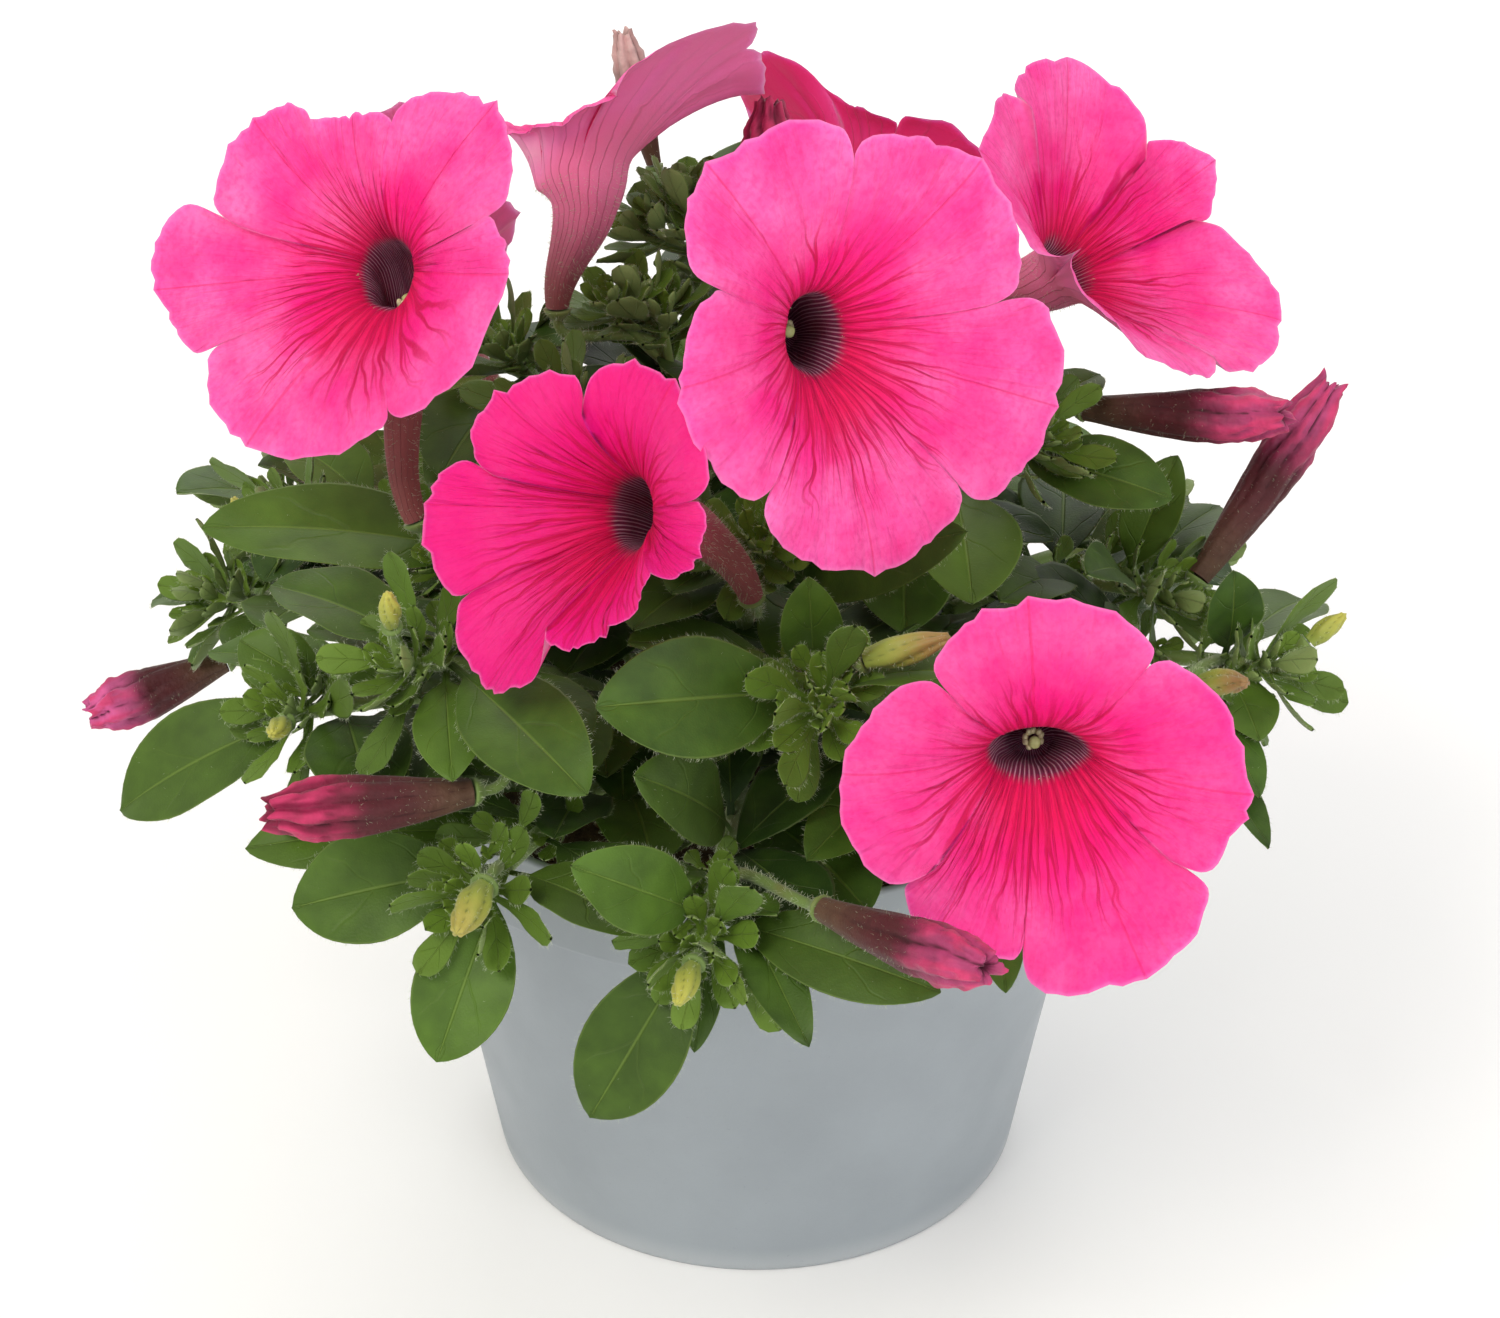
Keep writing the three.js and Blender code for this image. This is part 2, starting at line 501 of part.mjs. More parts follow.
// The line of a shoot's stem above the soil
function stemLine(shoot) {
  const [x, y] = shoot.hole;
  return new THREE.CubicBezierCurve3(new THREE.Vector3(x, y, soilTop + 4), ...shoot.via.map(vec), vec(shoot.tip));
}

function stemFrame(shoot, share) {
  const hint = new THREE.Vector3(0.9 + 0.01 * shoot.hole[0], 0.43, 0.11 - 0.01 * shoot.hole[1]);
  const frame = frameAlong(stemLine(shoot), share, hint);
  const sides = evenAngles(stem.sides, sideAngle(0)).map((angle) => outwardOf(frame, angle));
  return { ...frame, sides, radius: mix(stem.foot, stem.tip, share) };
}

// A stem has two rings round each joint and three at its tip, and every cell between two rings
// can carry one leaf or stalk.
function stemShares(shoot) {
  const length = stemLine(shoot).getLength();
  const half = stem.jointLength / 2 / length;
  const level = tuft.levelLength / length;
  return [0, ...stem.joints.flatMap((joint) => [joint - half, joint + half]), 1 - 2 * level, 1 - level, 1];
}

function stemRings(shoot) {
  const rings = stemShares(shoot).map((share) => {
    const frame = stemFrame(shoot, share);
    return circleOf(frame, frame.radius, evenAngles(stem.sides));
  });
  const buried = rings[0].map((point) => point.clone().setZ(soilTop + 5 - stemHole.depth));
  return [buried, ...rings];
}

const topRow = 2 * stem.joints.length + 4;
const sideAngle = (side) => ((side + 0.5) / stem.sides) * turn;

function looseStem(shoot) {
  const skin = new Skin();
  const rings = stemRings(shoot).map((ring) => skin.ring(ring));
  skin.base(rings[0]);
  skin.cap(skin.bands(rings));
  return skin;
}

// The free cell of the stem near a share of it that looks best towards a point, or the stem's top
function freeCell(shoot, grown, at, toward) {
  const isFree = (cell) => !grown.some(({ row, side }) => row === cell.row && side === cell.side);
  if (at === 1) return { row: topRow, side: 0, root: stemFrame(shoot, 1).centre, facing: 1 };
  const cells = stem.joints.flatMap((joint, j) => {
    const frame = stemFrame(shoot, joint);
    const heading = toward.clone().sub(frame.centre).normalize();
    return frame.sides.map((outward, side) => {
      const facing = outward.dot(heading);
      const root = frame.centre.clone().addScaledVector(outward, 0.7 * frame.radius);
      return { row: 2 + 2 * j, side, root, facing, cost: jointPull * Math.abs(joint - at) - facing };
    });
  });
  return cells.filter(isFree).reduce((kept, cell) => (cell.cost < kept.cost ? cell : kept));
}

// Everything on a stalk of its own: where the stalk leaves the shoot and which way it points
function stalkedHeads() {
  const aimed = (head) => ({ ...head, rise: vec(head.end).sub(vec(head.foot)).normalize().toArray() });
  return [
    ...blooms.map((head) => ({ ...head, seat: tube.foot })),
    ...trumpets.map((head) => ({ ...aimed(head), seat: (head.width / 2) * trumpetSwell[0] })),
    ...buds.map((head) => ({ ...aimed(head), seat: (head.width / 2) * budSwell[0], short: true })),
  ];
}

function stalkLine(head, start) {
  const rise = vec(head.rise).normalize();
  const under = vec(head.foot).addScaledVector(rise, -seatGap - calyx.cupLength);
  const reach = start.distanceTo(under);
  const leaving = start.clone().lerp(under, 0.4).add(new THREE.Vector3(0, 0, 0.1 * reach));
  return new THREE.CubicBezierCurve3(start, leaving, under.clone().addScaledVector(rise, -0.3 * reach), under);
}

function calyxFrame(head, back) {
  const forward = vec(head.rise).normalize();
  const right = across(forward, new THREE.Vector3(0.2, 0.3, 0.93));
  const centre = vec(head.foot).addScaledVector(forward, -seatGap - back);
  return { centre, forward, right, up: forward.clone().cross(right) };
}

const stalkHint = new THREE.Vector3(0.2, 0.3, 0.93);

function growStalk(skin, corners, { head, root, sepals }) {
  const line = stalkLine(head, root);
  const around = (share) => circleOf(frameAlong(line, share, stalkHint), pedicel.radius, evenAngles(pedicel.sides));
  const rings = pedicel.steps.map((share) => skin.ring(around(share)));
  rings.unshift(skin.turned(corners, rings[0]));
  const top = skin.bands(rings);
  const low = skin.ring(circleOf(calyxFrame(head, calyx.cupLength - 0.5), 1.2, evenAngles(calyx.sepals)));
  const high = skin.ring(circleOf(calyxFrame(head, 0), Math.min(calyx.cup, head.seat + 0.4), evenAngles(calyx.sepals)));
  skin.bridge(top, low);
  skin.cap(high);
  for (let k = 0; k < calyx.sepals; k += 1) {
    const next = (k + 1) % calyx.sepals;
    const side = [low[k], low[next], high[next], high[k]];
    if (sepals.has(k)) growBlade(skin, side, sepals.get(k));
    else skin.cap(side);
  }
}

function looseStalk(head, start) {
  const line = stalkLine(head, start);
  const skin = new Skin();
  const around = (share) => circleOf(frameAlong(line, share, stalkHint), pedicel.radius, evenAngles(pedicel.sides));
  const rings = [0.1, ...pedicel.steps].map((share) => skin.ring(around(share)));
  rings.push(skin.ring(circleOf(calyxFrame(head, 0), Math.min(calyx.cup, head.seat + 0.4), evenAngles(pedicel.sides))));
  skin.base(rings[0]);
  skin.cap(skin.bands(rings));
  return skin;
}

function sepal(head, k) {
  const { centre, forward, right, up } = calyxFrame(head, 0.8);
  const angle = ((k + 0.5) / calyx.sepals) * turn;
  const out = right.clone().multiplyScalar(Math.cos(angle)).addScaledVector(up, Math.sin(angle));
  const root = centre.addScaledVector(out, 1);
  const draw = noise(Math.round(head.foot[0]), Math.round(head.foot[1]), k);
  const spread = calyx.spread + 0.25 * draw;
  const length = (head.short ? 0.62 : 1) * calyx.length * (0.85 + 0.35 * draw);
  const heading = forward.clone().multiplyScalar(Math.cos(spread)).addScaledVector(out, Math.sin(spread));
  const tip = root.clone().addScaledVector(heading, length);
  const face = forward.clone().addScaledVector(out, -0.6);
  const width = calyx.width * (head.short ? 0.75 : 1);
  const carrier = `calyx of ${head.name}`;
  return { root, tip, width, face, bow: -0.06, fold: 0.1, shape: 'spoon', shares: [0.62], carrier, facing: 1 };
}

// The tuft of young leaves at a shoot's tip: one on top, a ring of four and a wider ring below it
function tuftLeaf(shoot, index, k, attempt) {
  const draw = (key) => noise(index, k, attempt, key);
  const level = Math.ceil(k / tuft.ring);
  const side = (k + 3) % tuft.ring;
  const frame = stemFrame(shoot, 1);
  const out = outwardOf(frame, sideAngle(side) + 0.5 * (draw(0) - 0.5));
  const polar = tuft.polar[level] + 0.3 * (draw(1) - 0.5);
  const length = mix(tuft.shortest, tuft.longest, level / 2) * (0.8 + 0.4 * draw(2)) * 0.88 ** attempt;
  const heading = frame.forward.clone().multiplyScalar(Math.cos(polar)).addScaledVector(out, Math.sin(polar));
  const root = frame.centre.addScaledVector(frame.forward, -tuft.levelLength * Math.max(level - 0.5, 0));
  if (level > 0) root.addScaledVector(out, stem.tip);
  const tip = root.clone().addScaledVector(heading, length);
  const face = frame.forward.clone().multiplyScalar(Math.sin(polar)).addScaledVector(out, -Math.cos(polar));
  const shares = length > 10 ? [0.4, 0.75] : [0.6];
  const cell = { row: topRow - level, side, facing: 1 };
  return { ...cell, root, tip, width: 1.6 + length * 0.24, face, bow: -0.12, fold: 0.15, shape: 'spoon', shares };
}

// The leaves further down each shoot, which fill the mound
function fillerLeaf(shoot, index, k, attempt, grown) {
  const line = stemLine(shoot);
  const draw = (key) => noise(index, k, attempt, key + 10);
  const at = filler.places[k];
  const outward = across(new THREE.Vector3(0, 0, 1), line.getTangent(at));
  const sideways = outward.clone().cross(new THREE.Vector3(0, 0, 1));
  const angle = (k % 2 ? 1 : -1) * (0.7 + 0.7 * draw(0)) + 0.5 * (draw(1) - 0.5);
  const pitch = -0.25 + 0.75 * draw(2);
  const length = filler.length * (0.75 + 0.4 * draw(3)) * 0.93 ** attempt;
  const flat = outward.clone().multiplyScalar(Math.cos(angle)).addScaledVector(sideways, Math.sin(angle));
  const reach = flat.clone().multiplyScalar(length * Math.cos(pitch)).setZ(length * Math.sin(pitch));
  const cell = freeCell(shoot, grown, at, line.getPoint(at).add(reach));
  const tip = cell.root.clone().add(reach);
  const face = new THREE.Vector3(0, 0, 1).addScaledVector(flat, -0.4);
  return { ...cell, tip, width: length * filler.slimness, face, shares: [0.3, 0.52, 0.78] };
}

function heroLeaf(leaf, cell, attempt) {
  const face = vec(leaf.face).normalize();
  const push = Math.ceil(attempt / 2) * (attempt % 2 ? 2.5 : -2.5);
  const tip = vec(leaf.tip).addScaledVector(face, push);
  return { ...cell, tip, width: leaf.width, face, shares: [0.28, 0.5, 0.76], wide: leaf.width > 11 };
}

// Finds room for each leaf, clear of everything that stands already
class Mound {
  constructor() {
    this.placed = [];
  }

  add(node, part, skin, solid = skin.solid()) {
    this.placed.push({ node, part, solid, box: new THREE.Box3().setFromPoints(skin.points) });
  }

  hits(skin, matters) {
    const box = new THREE.Box3().setFromPoints(skin.points);
    const near = this.placed.filter((piece) => matters(piece) && piece.box.intersectsBox(box));
    if (near.length === 0) return false;
    const solid = skin.solid();
    return near.some((piece) => !solid.intersect(piece.solid).isEmpty());
  }

  isCrowded(node, spec) {
    const own = (piece) => piece.node === node;
    const carrier = spec.carrier ?? 'stem';
    return this.hits(looseBlade(spec, leafGap, 0), (piece) => !own(piece))
      || this.hits(looseBlade(spec, ownGap, bladeFrom), (piece) => own(piece) && piece.part === carrier)
      || this.hits(looseBlade(spec, ownGap, rootFrom), (piece) => own(piece) && piece.part !== carrier);
  }

  // The first of the tried leaves that fits, or nothing
  fit(node, specAt, attempts) {
    for (let attempt = 0; attempt < attempts; attempt += 1) {
      const spec = specAt(attempt);
      if (spec.facing > leastFacing && !this.isCrowded(node, spec)) {
        this.add(node, spec.carrier ?? 'leaf', looseBlade(spec, 0, rootFrom));
        return spec;
      }
    }
    return null;
  }
}

function potBody() {
  const inner = (radius) => radius - potWall;
  const lipFoot = potHeight - potLipHeight;
  const outline = [
    [0, 0], [potBaseRadius - 1, 0], [potBaseRadius, 1.2], [potWallRadius, lipFoot], [potLipRadius, lipFoot],
    [potRimRadius, potHeight], [inner(potRimRadius), potHeight], [inner(potWallRadius), lipFoot - 0.5],
    [inner(potBaseRadius), potFloor], [0, potFloor],
  ].map(([radius, height]) => new THREE.Vector2(radius, height));
  let body = toSolid(new THREE.LatheGeometry(outline, potSides).rotateX(Math.PI / 2));
  for (const angle of evenAngles(drainHoles.count, 0.5)) {
    const drill = new THREE.CylinderGeometry(drainHoles.radius, drainHoles.radius, 12, 10).rotateX(Math.PI / 2)
      .translate(drainHoles.ring * Math.cos(angle), drainHoles.ring * Math.sin(angle), 0);
    body = body.subtract(toSolid(drill));
  }
  return body;
}

function soilBody() {
  const lipFoot = potHeight - potLipHeight;
  const wallAt = (height) => mix(potBaseRadius, potWallRadius, height / lipFoot) - potWall - fitGap;
  const floorTop = potFloor + seatGap;
  const outline = [
    [0, floorTop], [wallAt(floorTop), floorTop], [wallAt(lipFoot - 1) - 0.2, lipFoot - 1],
    [wallAt(lipFoot) - 0.4, soilTop], [36, soilTop], [18, soilTop], [0, soilTop],
  ].map(([radius, height]) => new THREE.Vector2(radius, height));
  const geometry = mergeVertices(new THREE.LatheGeometry(outline, 18).rotateX(Math.PI / 2), 1e-3);
  const spots = geometry.attributes.position;
  for (let i = 0; i < spots.count; i += 1) {
    const crumble = noise(Math.round(spots.getX(i)), Math.round(spots.getY(i))) - 0.8;
    if (spots.getZ(i) > soilTop - 0.1) spots.setZ(i, soilTop + soilRelief * crumble);
  }
  let body = toSolid(geometry);
  for (const shoot of shoots) {
    const height = stemHole.depth + 10;
    const drill = new THREE.CylinderGeometry(stemHole.radius, stemHole.radius, height, stemHole.sides)
      .rotateX(Math.PI / 2).translate(shoot.hole[0], shoot.hole[1], soilTop - stemHole.depth + height / 2);
    body = body.subtract(toSolid(drill));
  }
  return body;
}

// Grows a shoot as one skin: its stem, then a leaf or a stalk out of a cell of the stem for each
function growShoot(shoot, growths) {
  const skin = new Skin();
  const rings = stemRings(shoot).map((ring) => skin.ring(ring));
  skin.base(rings[0]);
  const cells = rings.slice(1).flatMap((far, row) => far.map((_, side) => {
    const next = (side + 1) % stem.sides;
    return { row, side, corners: [rings[row][side], rings[row][next], far[next], far[side]] };
  }));
  cells.push({ row: topRow, side: 0, corners: rings.at(-1) });
  for (const { row, side, corners } of cells) {
    const growth = growths.find((grown) => grown.row === row && (grown.side === side || row === topRow));
    if (!growth) skin.cap(corners);
    else if (growth.head) growStalk(skin, corners, growth);
    else growBlade(skin, corners, growth);
  }
  return skin;
}

function placeLeaves(mound, growths) {
  const byName = new Map(shoots.map((shoot) => [shoot.name, shoot]));
  const place = (name, specAt, attempts) => {
    const spec = mound.fit(name, specAt, attempts);
    if (spec) growths.get(name).push(spec);
  };
  for (const shoot of shoots) mound.add(shoot.name, 'stem', looseStem(shoot));
  const stalks = stalkedHeads().map((head) => {
    const grown = growths.get(head.shoot);
    const stalk = { ...freeCell(byName.get(head.shoot), grown, head.at, vec(head.foot)), head, sepals: new Map() };
    grown.push(stalk);
    mound.add(head.shoot, `calyx of ${head.name}`, looseStalk(head, stalk.root));
    return stalk;
  });
  for (const leaf of largeLeaves) {
    const cell = freeCell(byName.get(leaf.shoot), growths.get(leaf.shoot), leaf.at, vec(leaf.tip));
    place(leaf.shoot, (attempt) => heroLeaf(leaf, cell, attempt), 7);
  }
  for (const { head, sepals } of stalks) {
    for (let k = 0; k < calyx.sepals; k += 1) {
      const spec = mound.fit(head.shoot, () => sepal(head, k), 1);
      if (spec) sepals.set(k, spec);
    }
  }
  shoots.forEach((shoot, index) => {
    const topped = growths.get(shoot.name).some(({ row }) => row === topRow);
    for (let k = topped ? 1 : 0; k <= 2 * tuft.ring; k += 1) {
      place(shoot.name, (attempt) => tuftLeaf(shoot, index, k, attempt), 4);
    }
  });
  shoots.forEach((shoot, index) => {
    const grown = growths.get(shoot.name);
    filler.places.forEach((_, k) => {
      place(shoot.name, (attempt) => fillerLeaf(shoot, index, k, attempt, grown), 8);
    });
  });
}

function surfacePoints(solid) {
  const { vertProperties } = solid.getMesh();
  return Array.from({ length: vertProperties.length / 3 }, (_, i) => vec(vertProperties.slice(3 * i, 3 * i + 3)));
}

function finishOf(name) {
  const rough = (color, roughness) => new THREE.MeshStandardMaterial({ color, roughness, metalness: 0 });
  if (name === 'pot') return rough(colours.pot, 0.55);
  if (name === 'soil') return rough(colours.soil, 0.95);
  if (name.startsWith('corolla')) return rough(colours.petal, 0.6);
  if (name.startsWith('stamens')) return rough(colours.pollen, 0.8);
  if (name === 'trumpet_top_pale') return rough(colours.wiltedPale, 0.7);
  if (name.startsWith('trumpet')) return rough(colours.wilted, 0.7);
  if (name.startsWith('bud')) return rough(colours.budTip, 0.7);
  return rough(colours.leaf, 0.65);
}

function pottedPetunia() {
  const group = new THREE.Group();
  const mound = new Mound();
  const show = (name, geometry) => {
    const mesh = new THREE.Mesh(geometry, finishOf(name));
    mesh.name = name;
    group.add(mesh);
  };
  const stand = (name, skin) => {
    mound.add(name, name, skin);
    show(name, skin.geometry());
  };
  for (const [name, solid] of [['pot', potBody()], ['soil', soilBody()]]) {
    mound.add(name, name, { points: surfacePoints(solid) }, solid);
    show(name, toGeometry(solid));
  }
  for (const bloom of blooms) {
    stand(`corolla_${bloom.name}`, corolla(bloom));
    if (bloomsWithStamens.includes(bloom.name)) stand(`stamens_${bloom.name}`, stamens(bloom));
  }
  for (const head of trumpets) stand(`trumpet_${head.name}`, spindle(head, trumpetSwell, 7, 1.2));
  for (const head of buds) stand(`bud_${head.name}`, spindle(head, budSwell, 6, 0));
  const growths = new Map(shoots.map((shoot) => [shoot.name, []]));
  placeLeaves(mound, growths);
  for (const shoot of shoots) show(shoot.name, growShoot(shoot, growths.get(shoot.name)).geometry());
  return group;
}

export default pottedPetunia();
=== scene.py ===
import math

import bpy
import numpy as np
from mathutils.kdtree import KDTree
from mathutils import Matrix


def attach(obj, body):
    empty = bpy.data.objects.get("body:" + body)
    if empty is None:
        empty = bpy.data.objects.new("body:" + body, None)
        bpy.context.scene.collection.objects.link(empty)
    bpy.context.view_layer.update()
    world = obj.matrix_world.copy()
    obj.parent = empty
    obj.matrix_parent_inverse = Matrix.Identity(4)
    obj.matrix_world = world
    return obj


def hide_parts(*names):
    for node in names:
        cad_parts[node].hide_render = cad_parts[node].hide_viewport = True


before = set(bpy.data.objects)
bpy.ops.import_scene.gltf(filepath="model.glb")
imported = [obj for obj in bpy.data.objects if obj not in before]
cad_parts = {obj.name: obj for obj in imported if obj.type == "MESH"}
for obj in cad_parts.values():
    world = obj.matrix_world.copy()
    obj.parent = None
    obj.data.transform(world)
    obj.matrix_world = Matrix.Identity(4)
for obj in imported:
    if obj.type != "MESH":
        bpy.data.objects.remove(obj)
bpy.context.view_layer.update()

# A trailing petunia in a 12 cm pot. Lengths in the tables are millimetres; meshes are in metres.
mm = 0.001
turn = 2 * math.pi
print("frame loaded:", len(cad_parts), "nodes")

camera = dict(place=(-0.0011, -0.4702, 0.3727), tilt=59.1, lens=80.57, sensor=36)
studio = dict(
    floorColour="#fafafa", floorSize=4.0, skyColour="#fffdfa", skyStrength=0.7,
    lamps=[
        dict(name="keyLamp", place=(-0.55, -0.75, 1.05), size=0.6, power=8.0, colour="#fff9f0"),
        dict(name="fillLamp", place=(0.7, -0.85, 0.6), size=0.9, power=4.0, colour="#fbfcff"),
        dict(name="backLamp", place=(0.1, 0.85, 0.75), size=0.8, power=4.0, colour="#ffffff"),
    ],
)


def linear(hexColour):
    channels = [int(hexColour[i:i + 2], 16) / 255 for i in (1, 3, 5)]
    return (*[c / 12.92 if c < 0.04045 else ((c + 0.055) / 1.055) ** 2.4 for c in channels], 1.0)


def addCamera(name="photoCamera"):
    data = bpy.data.cameras.new(name)
    data.sensor_width, data.lens = camera["sensor"], camera["lens"]
    data.clip_start, data.clip_end = 0.01, 20
    eye = bpy.data.objects.new(name, data)
    eye.location = camera["place"]
    eye.rotation_euler = (math.radians(camera["tilt"]), 0, 0)
    bpy.context.collection.objects.link(eye)
    bpy.context.scene.camera = eye


def addLamp(name, place, size, power, colour, aim=(0, 0, 0.1)):
    data = bpy.data.lights.new(name, "AREA")
    data.shape, data.size, data.energy = "DISK", size, power
    data.color = linear(colour)[:3]
    lamp = bpy.data.objects.new(name, data)
    lamp.location = place
    heading = np.subtract(aim, place)
    lamp.rotation_euler = (
        math.acos(-heading[2] / np.linalg.norm(heading)), 0, math.atan2(heading[1], heading[0]) - math.pi / 2,
    )
    bpy.context.collection.objects.link(lamp)


addCamera()
for lamp in studio["lamps"]:
    addLamp(**lamp)
sky = bpy.data.worlds.new("softBox")
sky.use_nodes = True
sky.node_tree.nodes["Background"].inputs["Color"].default_value = linear(studio["skyColour"])
sky.node_tree.nodes["Background"].inputs["Strength"].default_value = studio["skyStrength"]
bpy.context.scene.world = sky
bpy.context.scene.view_settings.view_transform = "Standard"
print("camera and lamps set")


# Vectors and lines
def vec(*xyz):
    return np.array(xyz if len(xyz) == 3 else xyz[0], float)


def unit(v):
    return v / np.linalg.norm(v, axis=-1, keepdims=True)


def mix(a, b, share):
    return a + (b - a) * share


def smooth(low, high, x):
    s = np.clip((x - low) / (high - low), 0, 1)
    return s * s * (3 - 2 * s)


def acrossOf(axis, hint):
    return unit(hint - axis * np.sum(axis * hint, -1, keepdims=True))


def noise(*keys):
    mixed = sum((key + 1) * (12.9898 + 21.3179 * i) for i, key in enumerate(keys))
    wave = math.sin(mixed) * 43758.5453
    return wave - math.floor(wave)


def bezier(points, share):
    share = np.asarray(share, float)[..., None]
    order = len(points) - 1
    return sum(
        math.comb(order, i) * (1 - share) ** (order - i) * share ** i * vec(point)
        for i, point in enumerate(points)
    )


def tangent(points, share):
    low, high = np.clip(np.subtract(share, 1e-4), 0, 1), np.clip(np.add(share, 1e-4), 0, 1)
    return unit(bezier(points, high) - bezier(points, low))


def lengthOf(points):
    spots = bezier(points, np.linspace(0, 1, 201))
    return float(np.sum(np.linalg.norm(np.diff(spots, axis=0), axis=1)))


def frameAlong(points, share, hint):
    forward = tangent(points, share)
    right = acrossOf(forward, vec(hint))
    return dict(centre=bezier(points, share), forward=forward, right=right, up=np.cross(forward, right))


def outwardOf(at, angle):
    if np.ndim(angle) == 0:
        return at["right"] * math.cos(angle) + at["up"] * math.sin(angle)
    right, up = at["right"][..., None, :], at["up"][..., None, :]
    return right * np.cos(angle)[..., None] + up * np.sin(angle)[..., None]


def around(count):
    return np.arange(count) / count * turn


def tubeGrid(points, shares, radii, hint, sides):
    at = frameAlong(points, shares, hint)
    return at["centre"][:, None] + outwardOf(at, around(sides)[None, :]) * radii[:, None, None]


def wavy(x, seed, waves):
    # Sine waves with chance phases and heights, added up to stay between about -1 and 1
    rng = np.random.default_rng(seed)
    return sum(np.sin(wave * x + rng.uniform(0, turn)) * rng.uniform(0.5, 1) for wave in waves) / len(waves)


# A piece grows from grids of points; every point carries the values that its materials read
class Growth:
    def __init__(self, *keys):
        self.points, self.faces, self.slots, self.uvs, self.count = [], [], [], [], 0
        self.values = {key: [] for key in keys}

    def addPoints(self, points, values):
        points = points.reshape(-1, 3)
        start = self.count
        self.points.append(points)
        self.count += len(points)
        for key, kept in self.values.items():
            kept.append(np.broadcast_to(np.asarray(values.get(key, 0.0), float).reshape(-1), (len(points),)))
        return start

    def grid(self, points, uv=None, uvNext=None, flip=False, slot=0, **values):
        # Rows of points round a closed form; uvNext is the uv at each cell's far side, which jumps at a seam
        rows, columns = points.shape[:2]
        values = {key: np.broadcast_to(value, (rows, columns)) for key, value in values.items()}
        index = self.addPoints(points, values) + np.arange(rows * columns).reshape(rows, columns)
        near = np.hstack([index, index[:, :1]])
        if uv is None:
            uv = np.stack(np.meshgrid(np.linspace(0, 1, columns), np.linspace(0, 1, rows)), -1)
        if uvNext is None:
            uvNext = np.roll(uv, -1, axis=1)
        faces = np.stack([near[:-1, :-1], near[:-1, 1:], near[1:, 1:], near[1:, :-1]], -1).reshape(-1, 4)
        corners = np.stack([uv[:-1], uvNext[:-1], uvNext[1:], uv[1:]], 2).reshape(-1, 4, 2)
        if flip:
            faces, corners = faces[:, ::-1], corners[:, ::-1]
        self.addFaces(faces, corners, slot)

    def addFaces(self, faces, corners, slot):
        self.faces.append(faces)
        self.uvs.append(corners)
        self.slots.append(np.full(len(faces), slot))

    def hairs(self, roots, headings, lengths, width, slot, rng):
        # Each hair is one thin triangle
        side = unit(np.cross(headings, rng.normal(size=roots.shape))) * width / 2
        tips = roots + headings * np.reshape(lengths, (-1, 1))
        corners = np.stack([roots - side, roots + side, tips], 1)
        start = self.addPoints(corners, {})
        faces = np.full((len(roots), 4), -1)
        faces[:, :3] = start + np.arange(len(roots) * 3).reshape(-1, 3)
        uv = np.zeros((len(roots), 4, 2))
        uv[:, 2, 1] = 1
        self.addFaces(faces, uv, slot)

    def finish(self, name, materials, node, slotName):
        faces, corners = np.concatenate(self.faces), np.concatenate(self.uvs)
        used = faces >= 0
        starts = np.concatenate([[0], np.cumsum(used.sum(1))[:-1]])
        mesh = bpy.data.meshes.new(name)
        mesh.vertices.add(self.count)
        mesh.vertices.foreach_set("co", (np.concatenate(self.points) * mm).astype(np.float32).ravel())
        mesh.loops.add(int(used.sum()))
        mesh.loops.foreach_set("vertex_index", faces[used].astype(np.int32))
        mesh.polygons.add(len(faces))
        mesh.polygons.foreach_set("loop_start", starts.astype(np.int32))
        mesh.polygons.foreach_set("material_index", np.concatenate(self.slots).astype(np.int32))
        mesh.update(calc_edges=True)
        mesh.polygons.foreach_set("use_smooth", np.ones(len(faces), bool))
        layer = mesh.uv_layers.new(name="UVMap")
        layer.data.foreach_set("uv", corners[used].astype(np.float32).ravel())
        for key, kept in self.values.items():
            mesh.attributes.new(key, "FLOAT", "POINT").data.foreach_set(
                "value", np.concatenate(kept).astype(np.float32))
        for material in materials:
            mesh.materials.append(material)
        piece = bpy.data.objects.new(name, mesh)
        bpy.context.collection.objects.link(piece)
        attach(piece, "root")
        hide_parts(node)
        return piece


def cellsOf(points):
    # A corner of every cell of a closed grid, and the cell's edges from it, across and along
    points = np.concatenate([points, points[:, :1]], 1)
    corner = points[:-1, :-1]
    return corner, points[:-1, 1:] - corner, points[1:, :-1] - corner


def areaOf(points):
    _, across, along = cellsOf(points)
    return float(np.linalg.norm(np.cross(across, along), axis=-1).sum())


def scatter(points, count, rng):
    corner, across, along = [part.reshape(-1, 3) for part in cellsOf(points)]
    normals = np.cross(across, along)
    area = np.linalg.norm(normals, axis=1) + 1e-12
    pick = rng.choice(len(area), count, p=area / area.sum())
    u, v = rng.random((2, count, 1))
    return corner[pick] + across[pick] * u + along[pick] * v, normals[pick] / area[pick, None]


fuzz = dict(colour="#e3e9d2", foot="#a5b588", roughness=0.6, sheen=0.3, marginWidth=0.035)
# Hairs to the square millimetre of each kind of skin, how long and wide they are, and how far they lean
down = dict(
    leaf=dict(density=0.05, width=0.035, lean=0.6), stem=dict(density=1.0, length=0.8, width=0.06, lean=0.35),
    stalk=dict(density=2.2, length=0.95, width=0.06, lean=0.3),
    tube=dict(density=2.2, length=0.9, width=0.06, lean=0.3),
    wilted=dict(density=0.7, length=0.6, width=0.035, lean=0.3),
    bud=dict(density=1.2, length=0.6, width=0.06, lean=0.3),
)
# Hairs along the edge of each kind of leaf: how long they are and the gap between them
marginHair = dict(large=(0.7, 0.34), young=(0.75, 0.27), shaded=(0.6, 0.8), sepal=(0.8, 0.35))


